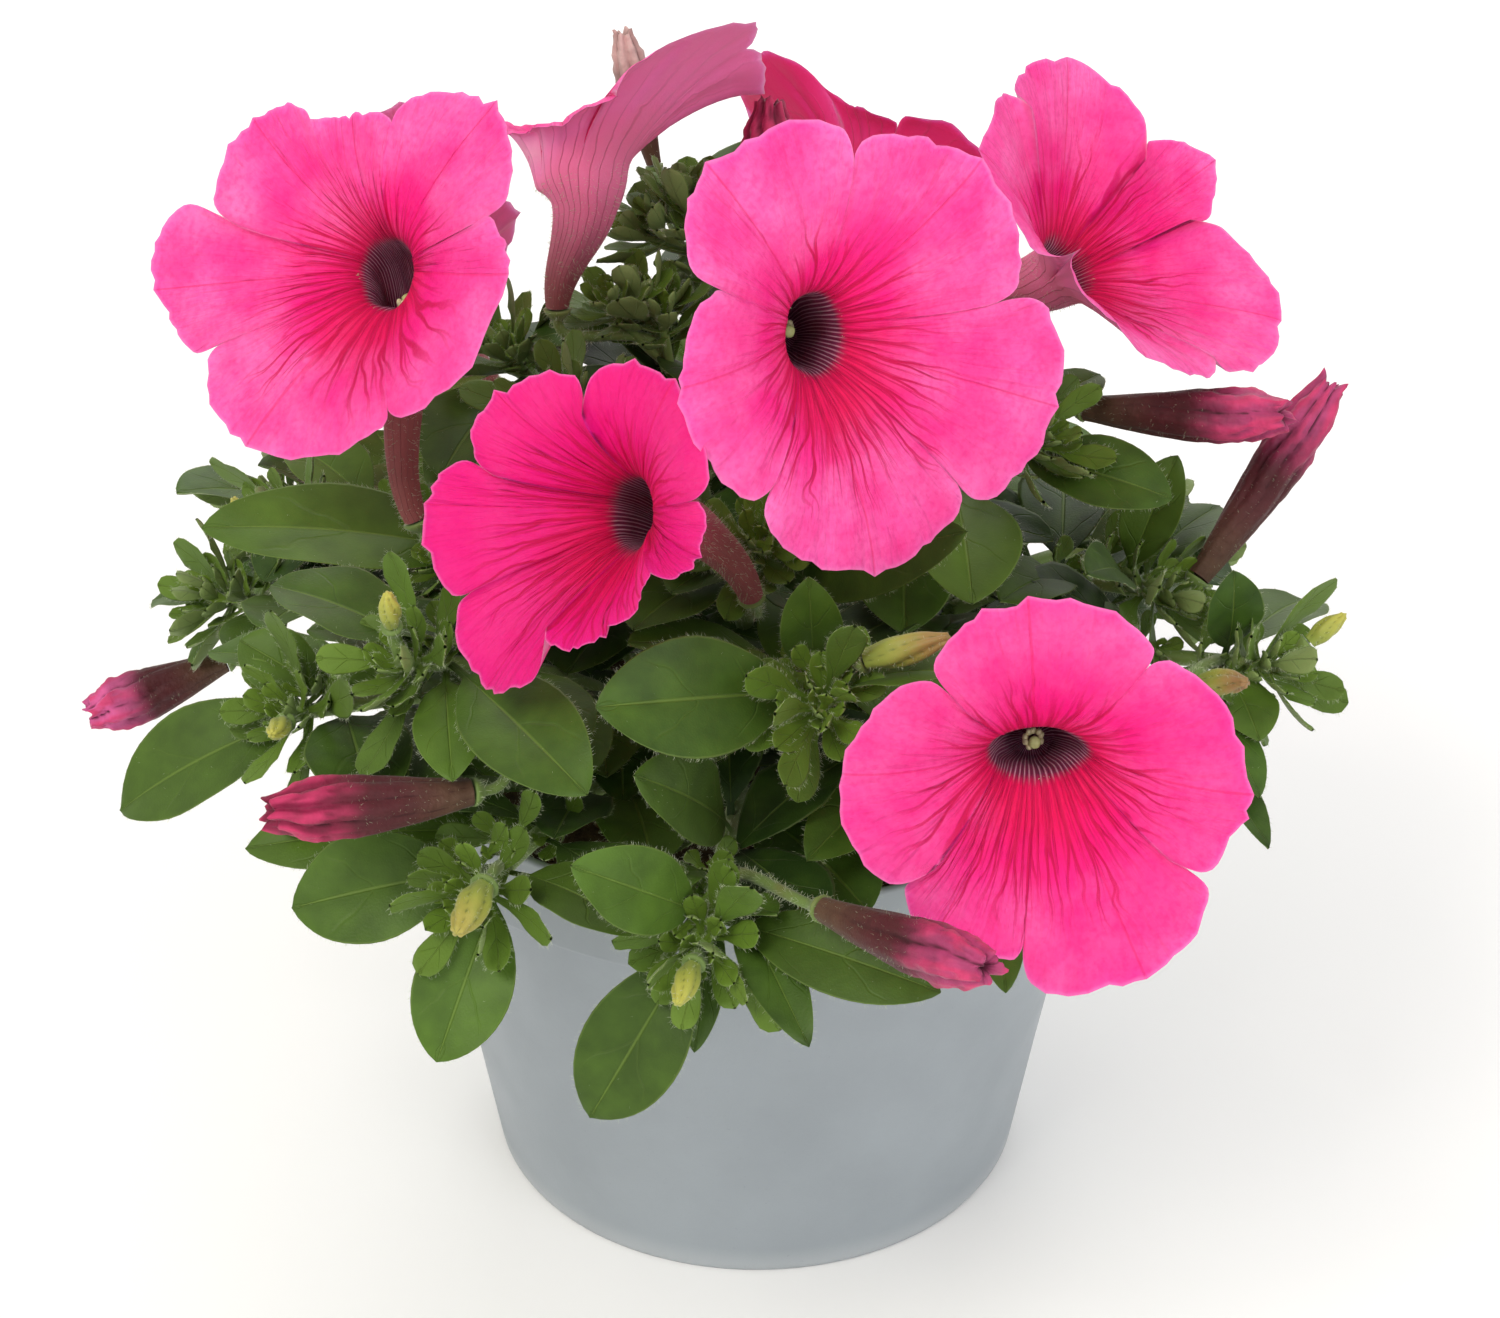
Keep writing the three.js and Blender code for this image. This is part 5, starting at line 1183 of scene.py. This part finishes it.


# tube: the tube's own brownish rose, darkened further as painted shade of the tubes under the flowers
backLook = dict(
    rose="#ea7dab", rich="#dc2f70", tube="#8c4e4c", vein="#8c4c4c", haze="#ffd8e4", roughness=0.6,
    specular=0.25, sheen=0.08, waver=6.0, grain=0.6, grainDepth=0.08, veinDepth=0.3,
    translucence=dict(Subsurface_Weight=0.4, Subsurface_Scale=2 * mm, Subsurface_Radius=(1.0, 0.4, 0.6)),
)


def petalBack():
    # Paler rosy underside of the petals, which turns into the brown-veined tube; the tube's dull brown is partly
    # its own colour and partly painted shade
    look = backLook
    material, tree = newMaterial(
        "petunia petal, underside and tube", Roughness=look["roughness"], Specular_IOR_Level=look["specular"],
        Sheen_Weight=look["sheen"], Sheen_Tint=linear(look["haze"]), **look["translucence"])
    place = addNode(tree, "TexCoord").outputs["Object"]
    spot = addNode(tree, "SeparateXYZ", [addNode(tree, "UVMap")])
    reach, rich = [addNode(tree, "Attribute", attribute_name=name).outputs["Fac"] for name in (
        "reach", "rich")]
    wander, fine = [
        addNode(tree, "TexNoise", {"Vector": place, "Scale": 1 / (look[size] * mm), "Detail": 2.0})
        for size in ("waver", "grain")
    ]
    line = addNode(tree, "Math", [spot.outputs["X"], 2.5, wander], operation="MULTIPLY_ADD")
    line = addNode(tree, "Math", [line, 0.5], operation="PINGPONG")
    outward, veins, fade = [
        addNode(tree, "MapRange", steps, interpolation_type="SMOOTHSTEP") for steps in (
            [reach, -16.0, 12.0, 0.0, 1.0], [line, 0.0, 0.09, 0.42, 0.0], [reach, 6.0, 24.0, 1.0, 0.15])
    ]
    veins = addNode(tree, "Math", [veins, fade], operation="MULTIPLY")
    colour = addNode(tree, "Mix", {0: rich, 6: look["rose"], 7: look["rich"]}, data_type="RGBA")
    # Toward the foot the colour turns to the tube colour, which carries painted shade
    colour = addNode(tree, "Mix", {0: outward, 6: look["tube"], 7: colour}, data_type="RGBA")
    colour = addNode(tree, "Mix", {0: veins, 6: colour, 7: look["vein"]}, data_type="RGBA")
    skin = addNode(tree, "Bump", {"Height": fine, "Distance": look["grainDepth"] * mm})
    skin = addNode(tree, "Bump", {"Height": veins, "Distance": look["veinDepth"] * mm, "Normal": skin})
    return wired(material, Base_Color=colour, Normal=skin)


# The pairs are the far end and its ridges, for most of the wilted trumpets and for the one that dried pale
wiltedLook = dict(
    base="#5a4230", middle="#4e191f", creaseShadeAndBlotch="#2e060d", faded="#d95f9c", maroon=("#8c1642", "#d4386c"),
    pale=("#c8a5a0", "#d9b9b4"), roughness=0.6, specular=0.3, sheen=0.08, patch=3.0, crease=1.1,
    creaseDepth=0.25,
)
fading = dict(far_left=0.95, front=0.4, right=0.35, right_upright=0.45)
headHint = (0.31, 0.37, 0.88)


def wiltedPetal(name, shades):
    # Collapsed papery petals: brown at the foot, maroon along the tube and mauve on the folds of the end; the
    # near-black in the fold valleys is painted shade
    look, (far, ridge) = wiltedLook, shades
    material, tree = newMaterial(
        name, Roughness=look["roughness"], Specular_IOR_Level=look["specular"], Sheen_Weight=look["sheen"])
    along = addNode(tree, "SeparateXYZ", [addNode(tree, "UVMap")]).outputs["Y"]
    fold, faded = [addNode(tree, "Attribute", attribute_name=name).outputs["Fac"] for name in (
        "fold", "faded")]
    place = addNode(tree, "TexCoord").outputs["Object"]
    cloud, creases = [
        addNode(tree, "TexNoise", {"Vector": place, "Scale": 1 / (look[size] * mm), "Detail": detail})
        for size, detail in (("patch", 4.0), ("crease", 3.0))
    ]
    toMiddle, toFar, high, low = [
        addNode(tree, "MapRange", steps, interpolation_type="SMOOTHSTEP") for steps in (
            [along, 0.02, 0.45, 0.0, 1.0], [along, 0.5, 0.85, 0.0, 1.0], [fold, 0.55, 1.0, 0.0, 0.8],
            [fold, 0.0, 0.45, 0.85, 0.0])
    ]
    high = addNode(tree, "Math", [high, toFar], operation="MULTIPLY")
    end = addNode(tree, "Mix", {0: faded, 6: far, 7: look["faded"]}, data_type="RGBA")
    patch = addNode(tree, "MapRange", [cloud, 0.4, 0.8, 0.0, 0.45])
    colour = look["base"]
    # The near-black in the fold valleys is painted shade; the same colour in random blotches is the petals' own
    for share, shade in ((toMiddle, look["middle"]), (toFar, end), (high, ridge), (low, look["creaseShadeAndBlotch"]),
                         (patch, look["creaseShadeAndBlotch"])):
        colour = addNode(tree, "Mix", {0: share, 6: colour, 7: shade}, data_type="RGBA")
    skin = addNode(tree, "Bump", {"Height": creases, "Distance": look["creaseDepth"] * mm})
    return wired(material, Base_Color=colour, Normal=skin)


def swellRadii(shares, swell, head, part, blur):
    # The radii along a trumpet or a bud, with the corners of its swell blurred
    radii = np.interp(shares, np.linspace(0, 1, len(swell)), swell) * head["width"] * part
    return np.convolve(np.pad(radii, blur, mode="edge"), np.ones(2 * blur + 1) / (2 * blur + 1), "valid")


def shutEnd(rings, forward, shares, depth):
    # Rings that close the end, drawn in toward a point which lies that deep along the axis
    last = rings[-1]
    shut = [mix(last, last.mean(0) + forward * depth * share, share) for share in shares]
    return np.concatenate([rings, shut])


trumpet = dict(
    rows=52, sides=48, sag=1.2, fullness=1.06, foldDepth=(0.1, 0.42), endFold=0.12, crumple=0.55, ragged=2.2,
    tuck=0.8, shut=(0.12, 0.35, 0.65, 0.97), shutFold=(0.9, 0.6, 0.3, 0.0), shutDepth=-2.2, hairyRows=33,
)


def buildTrumpet(index, head, materials):
    rng = np.random.default_rng(500 + index)
    growth, look = Growth("fold", "faded"), trumpet
    foot, end = vec(head["foot"]), vec(head["end"])
    line = [foot, mix(foot, end, 0.5) - vec(0, 0, look["sag"]), end]
    shares = np.linspace(0, 1, look["rows"])
    radii = swellRadii(shares, trumpetSwell, head, 0.5, 3)
    s, a = shares[:, None], around(look["sides"])[None, :]

    # Folds that wind along it, then a crumpled and ragged end
    count = int(rng.integers(5, 8))
    phase = a + 0.9 * s * rng.uniform(-1, 1) + 0.25 * wavy(s * turn, int(rng.integers(1e6)), (1, 2, 3))
    warp = phase + 0.3 * wavy(phase, int(rng.integers(1e6)), (1, 2, 3))
    fold = np.abs(np.sin(warp * count / 2)) ** 0.8
    small = np.abs(np.sin(warp * (count + 4) + 2 * s + rng.uniform(0, 6)))
    fold = 0.75 * fold + 0.25 * small
    depth = mix(*look["foldDepth"], smooth(0.15, 0.8, s)) + look["endFold"] * smooth(0.85, 1, s)
    radius = radii[:, None] * (look["fullness"] - depth * (1 - fold))
    crumple = 0
    for k in range(3):
        wound = wavy(a + 1.7 * math.sin(turn * k / 3) * s, int(rng.integers(1e6)), (3 + 2 * k, 5 + 3 * k))
        crumple = crumple + wound * wavy(s * turn + a, int(rng.integers(1e6)), (2 + k, 5 + 2 * k))
    radius = radius + look["crumple"] * crumple * smooth(0.35, 0.8, s)
    fold = np.clip(fold + 0.35 * crumple * smooth(0.3, 0.7, s), 0, 1)
    ragged = wavy(a, int(rng.integers(1e6)), (2, 3, 5, 8)) * look["ragged"] * smooth(0.75, 1, s)
    onward = ragged - look["tuck"] * smooth(0.8, 1, s)
    at = frameAlong(line, shares, headHint)
    rings = at["centre"][:, None] + outwardOf(at, a) * radius[..., None]
    rings = rings + at["forward"][:, None] * onward[..., None]
    points = shutEnd(rings, at["forward"][-1], look["shut"], look["shutDepth"])
    folds = np.concatenate([fold, fold[-1:] * np.reshape(look["shutFold"], (-1, 1))])
    rows = np.concatenate([shares, np.ones(len(look["shut"]))])[:, None]
    uv = np.stack(np.broadcast_arrays(a / turn, rows), -1)
    growth.grid(points, uv, slot=0, fold=folds, faded=fading.get(head["name"], 0))
    addFuzz(growth, rings[:look["hairyRows"]], rng, slot=1, **down["wilted"])
    growth.finish("wilted_" + head["name"], materials, "trumpet_" + head["name"], "wilted_petal")


budLook = dict(
    green="#7f8f38", tip="#b3b04a", brown="#8f6b45", line="#59612a", roughness=0.5, ior=1.42, sheen=0.15,
    patch=2.0, patchDepth=0.2,
)
bud = dict(rows=24, sides=30, slimness=0.41, fullness=1.05, foldDepth=(0.15, 0.5), shut=(0.3, 0.65, 0.97))
dryness = dict(centre=0.8, right=0.95, front_left=0.35)


def budSkin():
    # Young petals still rolled up: waxy yellow-green, brown toward the tip where dried, and darker olive in the
    # fold valleys as painted shade
    look = budLook
    material, tree = newMaterial(
        "rolled petunia bud, waxy", Roughness=look["roughness"], IOR=look["ior"], Sheen_Weight=look["sheen"])
    along = addNode(tree, "SeparateXYZ", [addNode(tree, "UVMap")]).outputs["Y"]
    fold, dried = [addNode(tree, "Attribute", attribute_name=name).outputs["Fac"] for name in (
        "fold", "dried")]
    place = addNode(tree, "TexCoord").outputs["Object"]
    cloud = addNode(tree, "TexNoise", {"Vector": place, "Scale": 1 / (look["patch"] * mm), "Detail": 3.0})
    # low: darker olive in the fold valleys, painted shade in the creases
    low = addNode(tree, "MapRange", [fold, 0.0, 0.5, 0.8, 0.0], interpolation_type="SMOOTHSTEP")
    patch = addNode(tree, "MapRange", [cloud, 0.5, 0.8, 0.0, 0.5])
    colour = look["green"]
    for share, shade in ((along, "tip"), (dried, "brown"), (low, "line"), (patch, "green")):
        colour = addNode(tree, "Mix", {0: share, 6: colour, 7: look[shade]}, data_type="RGBA")
    skin = addNode(tree, "Bump", {"Height": cloud, "Distance": look["patchDepth"] * mm})
    return wired(material, Base_Color=colour, Normal=skin)


def buildBud(index, head, materials):
    rng = np.random.default_rng(700 + index)
    growth, look = Growth("fold", "dried"), bud
    foot, end = vec(head["foot"]), vec(head["end"])
    shares = np.linspace(0, 1, look["rows"])
    radii = swellRadii(shares, budSwell, head, look["slimness"], 2)
    s, a = shares[:, None], around(look["sides"])[None, :]
    fold = np.abs(np.sin((a + 1.4 * s + rng.uniform(0, 6)) * 2.5)) ** 0.6
    radius = radii[:, None] * (look["fullness"] - mix(*look["foldDepth"], s) * (1 - fold))
    at = frameAlong([foot, mix(foot, end, 0.5), end], shares, headHint)
    rings = at["centre"][:, None] + outwardOf(at, a) * radius[..., None]
    points = shutEnd(rings, at["forward"][-1], look["shut"], 0.5)
    rows = np.concatenate([shares, np.ones(len(look["shut"]))])[:, None]
    uv = np.stack(np.broadcast_arrays(a / turn, rows), -1)
    folds = np.concatenate([fold, *[fold[-1:]] * len(look["shut"])])
    growth.grid(points, uv, slot=0, fold=folds, dried=dryness.get(head["name"], 0.0) * smooth(0.3, 0.9, rows))
    addFuzz(growth, rings, rng, slot=1, **down["bud"])
    growth.finish("bud_tip_" + head["name"], materials, "bud_" + head["name"], "bud_tip")


stamenLook = dict(pollen="#ece0b4", filament="#c79ab0", stigma="#ccd08c", stain="#8f7f4a", bumpDepth=0.15)


def plainOrgan(name, colour, size, roughness):
    # Soft plant tissue with a brownish stain in patches
    look = stamenLook
    material, tree = newMaterial(name, Roughness=roughness, IOR=1.42)
    place = addNode(tree, "TexCoord").outputs["Object"]
    cloud = addNode(tree, "TexNoise", {"Vector": place, "Scale": 1 / (size * mm), "Detail": 3.0})
    share = addNode(tree, "MapRange", [cloud, 0.4, 0.8, 0.0, 0.4])
    shade = addNode(tree, "Mix", {0: share, 6: look[colour], 7: look["stain"]}, data_type="RGBA")
    skin = addNode(tree, "Bump", {"Height": cloud, "Distance": look["bumpDepth"] * mm})
    return wired(material, Base_Color=shade, Normal=skin)


def ballGrid(centre, heading, long, wide, groove=0.0, sides=14, rows=10):
    heading = unit(heading)
    right = acrossOf(heading, vec(0.21, 0.43, 0.87))
    up = np.cross(heading, right)
    polar = np.linspace(0.02, math.pi - 0.02, rows)[:, None]
    angles = around(sides)[None, :]
    radius = wide * np.sin(polar) * (1 - groove * np.exp(-((np.cos(angles)) / 0.25) ** 2))
    flat = right * (radius * np.cos(angles))[..., None], up * (radius * np.sin(angles))[..., None]
    return centre - heading * (np.cos(polar) * long)[..., None] + flat[0] + flat[1]


# Four filaments with paired pollen heads round one that carries the stigma
stamen = dict(
    count=5, above=0.11, step=0.016, spread=1.05, stigmaSpread=0.3, thread=0.22, pollen=(0.85, 0.5, 0.3),
    stigma=(0.55, 0.9, 0.2), pairGap=0.42,
)


def buildStamens(index, bloom, materials):
    rng = np.random.default_rng(800 + index)
    growth = Growth("tone")
    line = tubeLine(bloom, cupOf(bloom))
    start = tube["floorAt"] + seatGap / lengthOf(line)
    base = bezier(line, start)
    for k in range(stamen["count"]):
        last = k == stamen["count"] - 1
        at = frameAlong(line, start + stamen["above"] + stamen["step"] * k, tubeHint)
        out = outwardOf(at, k * turn / 5)
        spot = at["centre"] + out * stamen["stigmaSpread" if last else "spread"]
        path = [base + out * 0.4, mix(base, spot, 0.5) + out * 0.3, spot]
        thread = tubeGrid(path, np.linspace(0, 1, 8), np.full(8, stamen["thread"]), stalkHint, 6)
        growth.grid(thread, slot=1)
        if last:
            growth.grid(ballGrid(spot + at["forward"] * 0.4, at["forward"], *stamen["stigma"]), slot=2)
            continue
        for side in (-1, 1):
            lobe = spot + np.cross(at["forward"], out) * stamen["pairGap"] * side
            growth.grid(ballGrid(lobe, at["forward"] + rng.normal(size=3) * 0.2, *stamen["pollen"]), slot=0)
    growth.finish("stamens_of_" + bloom["name"], materials, "stamens_" + bloom["name"], "pollen")


potLook = dict(
    grey="#969ea4", light="#b4b9bb", dark="#858c91", roughness=0.42, ior=1.49, speck=0.6, smudge=22.0,
    wave=30.0, speckDepth=0.03, waveDepth=0.8,
    translucence=dict(Subsurface_Weight=0.05, Subsurface_Scale=2 * mm, Subsurface_Radius=(1.0, 1.0, 1.0)),
)
pot = dict(
    sides=128, floor=1.6, floorRadius=43.2, footRadius=44.4,
    holes=6, holeRadius=3.5, holeRing=31, firstHole=0.5, holeSides=24,
)
# The wall as (radius, height): up the outside, over the band and the rim, and down the inside
potWall = [
    (44.4, 0.0), (44.9, 0.25), (45.2, 0.8), (45.35, 1.6), (49, 24), (53, 47), (56.85, 69.2),
    (57.0, 69.8), (57.3, 70.0), (59.1, 70.05), (59.4, 70.3), (59.45, 70.8), (59.7, 77),
    (60, 84.2), (59.9, 84.8), (59.4, 85), (58.9, 84.9), (58.7, 84.4),
    (58.2, 71.2), (57.8, 70.1), (55.9, 69.6), (55.6, 68.9), (52, 48), (48, 24.5), (44.1, 2.4), (43.2, 1.65),
]


def pressedPlastic():
    # Matte grey polypropylene, thin and slightly uneven, with faint smudges and a paler worn foot
    look = potLook
    material, tree = newMaterial("polypropylene, moulded matte grey", IOR=look["ior"], **look["translucence"])
    place = addNode(tree, "TexCoord").outputs["Object"]
    height = addNode(tree, "SeparateXYZ", [place]).outputs["Z"]
    smudge, speck, waves = [
        addNode(tree, "TexNoise", {"Vector": place, "Scale": 1 / (look[size] * mm), "Detail": detail})
        for size, detail in (("smudge", 5.0), ("speck", 2.0), ("wave", 1.0))
    ]
    dim, dots, rough = [addNode(tree, "MapRange", steps) for steps in (
        [smudge, 0.35, 0.7, 0.0, 0.35], [speck, 0.68, 0.78, 0.0, 0.35],
        [smudge, 0.3, 0.7, look["roughness"] - 0.05, look["roughness"] + 0.12])]
    foot = addNode(tree, "MapRange", [height, 1 * mm, 6 * mm, 0.5, 0.0], interpolation_type="SMOOTHSTEP")
    colour = look["grey"]
    for share, shade in ((dim, "dark"), (foot, "light"), (dots, "dark")):
        colour = addNode(tree, "Mix", {0: share, 6: colour, 7: look[shade]}, data_type="RGBA")
    skin = addNode(tree, "Bump", {"Height": speck, "Distance": look["speckDepth"] * mm})
    skin = addNode(tree, "Bump", {"Height": waves, "Distance": look["waveDepth"] * mm, "Normal": skin})
    return wired(material, Base_Color=colour, Roughness=rough, Normal=skin)


def latheRings(outline, angles):
    radius, height = np.array(outline, float).T[..., None]
    return np.stack(np.broadcast_arrays(radius * np.cos(angles), radius * np.sin(angles), height), -1)


def sectorReach(centre, heading, spot, step, radius):
    # How far it is from a hole's centre to the edge of its sector of the floor
    along = float(centre @ heading)
    reach = -along + math.sqrt(max(along ** 2 - float(centre @ centre) + radius ** 2, 0))
    for side in (-1, 1):
        border = spot + side * step / 2
        normal = np.array([-math.sin(border), math.cos(border)]) * side
        rate = float(heading @ normal)
        if rate > 1e-6:
            reach = min(reach, -float(centre @ normal) / rate)
    return reach


def buildPot(material):
    growth = Growth("tone")
    growth.grid(latheRings(potWall, around(pot["sides"])), slot=0)
    step, angles = turn / pot["holes"], around(pot["holeSides"])
    spots = [pot["firstHole"] + k * step for k in range(pot["holes"])]

    # The floor's two faces: each sector is rings of quads from its hole's edge to the sector's edge
    for height, radius, flip in ((0.0, pot["footRadius"], False), (pot["floor"], pot["floorRadius"], True)):
        for spot in spots:
            centre = np.array([math.cos(spot), math.sin(spot)]) * pot["holeRing"]
            hole = centre + np.stack([np.cos(angles + spot), np.sin(angles + spot)], -1) * pot["holeRadius"]
            edge = []
            for angle in angles + spot:
                heading = np.array([math.cos(angle), math.sin(angle)])
                edge.append(centre + heading * sectorReach(centre, heading, spot, step, radius))
            rings = np.stack([mix(hole, np.array(edge), share) for share in (0, 0.15, 0.5, 1)])
            rings = np.concatenate([rings, np.full((*rings.shape[:2], 1), height)], -1)
            growth.grid(rings, slot=0, flip=flip)
    for spot in spots:
        ring = np.array([math.cos(spot), math.sin(spot)]) * pot["holeRing"]
        ring = ring + np.stack([np.cos(angles), np.sin(angles)], -1) * pot["holeRadius"]
        wall = [np.concatenate([ring, np.full((len(ring), 1), z)], 1) for z in (0.0, 0.5, 1.1, pot["floor"])]
        growth.grid(np.stack(wall), slot=0, flip=True)
    growth.finish("pot_shell", [material], "pot", "pot_plastic")


soilLook = dict(
    peat="#33241a", dry="#5b432f", bark="#7a5a3c", roughness=0.95, ior=1.4, lump=3.0, lumpDepth=1.2,
)
# Radii and heights: the surface, its last ring against the wall, and the body below it
soil = dict(
    sides=120, radii=(*np.linspace(0.4, 50, 46), 52, 53.6, 54.4), level=74.4, swell=1.1, rough=0.4,
    edgeHeight=72.0, body=[(54.4, 69.6), (54.0, 66), (43.4, 1.9), (1.0, 1.9)], crumbs=300, crumbRadius=52,
    crumbLevel=74.8,
)


def pottingSoil():
    # Peat with bark crumbs, dark and dull
    look = soilLook
    material, tree = newMaterial("potting soil, moist peat", Roughness=look["roughness"], IOR=look["ior"])
    place = addNode(tree, "TexCoord").outputs["Object"]
    cloud = addNode(tree, "TexNoise", {"Vector": place, "Scale": 1 / (look["lump"] * mm), "Detail": 5.0})
    share = addNode(tree, "MapRange", [cloud, 0.35, 0.75, 0.0, 1.0])
    tone = addNode(tree, "Attribute", attribute_name="tone").outputs["Fac"]
    colour = look["peat"]
    for share, shade in ((share, "dry"), (tone, "bark")):
        colour = addNode(tree, "Mix", {0: share, 6: colour, 7: look[shade]}, data_type="RGBA")
    skin = addNode(tree, "Bump", {"Height": cloud, "Distance": look["lumpDepth"] * mm})
    return wired(material, Base_Color=colour, Normal=skin)


def buildSoil(material):
    rng = np.random.default_rng(900)
    growth = Growth("tone")
    angles, radius = around(soil["sides"]), np.array(soil["radii"])[:, None]
    lumps = wavy(radius * 0.5 + 3 * np.cos(angles), 1, (1, 2, 3)) + wavy(
        radius * 0.9 + 5 * np.sin(angles), 2, (1, 2, 4))
    grains = soil["rough"] * rng.normal(size=lumps.shape) * (radius > 2)
    heights = soil["level"] + soil["swell"] * lumps / 1.5 + grains
    heights[-1] = soil["edgeHeight"]
    top = np.stack([radius * np.cos(angles), radius * np.sin(angles), heights], -1)
    low = latheRings(soil["body"], angles)
    growth.grid(np.concatenate([low[::-1], top[::-1]]), slot=0, tone=0.0)
    for _ in range(soil["crumbs"]):
        radius, angle = soil["crumbRadius"] * math.sqrt(rng.uniform()), rng.uniform(0, turn)
        size = rng.uniform(0.5, 1.7)
        spot = vec(radius * math.cos(angle), radius * math.sin(angle), soil["crumbLevel"] + size * 0.3)
        crumb = ballGrid(spot, rng.normal(size=3), size * rng.uniform(0.8, 1.8), size * 0.6, 0, 7, 5)
        growth.grid(crumb + rng.normal(size=crumb.shape) * size * 0.08, slot=0, tone=rng.uniform(0, 1) ** 3)
    growth.finish("peat_top", [material], "soil", "peat_soil")


print("growing the plant")
grown = placeGrowth()
print("leaves found:", sum(len(cells) for cells in grown.values()))
hair = plantHair()
green = [leafBlade(), greenStem(), hair]
for index, shoot in enumerate(shoots):
    buildShoot(index, shoot, grown[shoot["name"]], green)
print("foliage built")
petals = [petalFace(), petalBack(), hair]
organs = [
    plainOrgan("pollen head, dry cream", "pollen", 0.6, 0.8),
    plainOrgan("filament, mauve", "filament", 2.0, 0.5),
    plainOrgan("stigma, sticky green", "stigma", 0.8, 0.3),
]
for index, bloom in enumerate(blooms):
    buildCorolla(index, bloom, petals)
    if bloom["name"] in bloomsWithStamens:
        buildStamens(index, bloom, organs)
print("blooms built")
wilted = [wiltedPetal("wilted petunia petal, papery maroon", wiltedLook["maroon"]), hair]
pale = [wiltedPetal("wilted petunia petal, papery pale", wiltedLook["pale"]), hair]
for index, head in enumerate(trumpets):
    buildTrumpet(index, head, pale if head["name"] == "top_pale" else wilted)
waxy = [budSkin(), hair]
for index, head in enumerate(buds):
    buildBud(index, head, waxy)
print("wilted trumpets and buds built")
buildPot(pressedPlastic())
buildSoil(pottingSoil())
print("pot and soil built")


def addFloorPlane():
    half = studio["floorSize"] / 2
    corners = [(-half, -half, 0), (half, -half, 0), (half, half, 0), (-half, half, 0)]
    mesh = bpy.data.meshes.new("paleFloor")
    mesh.from_pydata(corners, [], [(0, 1, 2, 3)])
    colour = linear(studio["floorColour"])
    mesh.materials.append(newMaterial("studio paper, matte white", Base_Color=colour, Roughness=0.9)[0])
    floor = bpy.data.objects.new("paleFloor", mesh)
    bpy.context.collection.objects.link(floor)


addFloorPlane()
print("done")
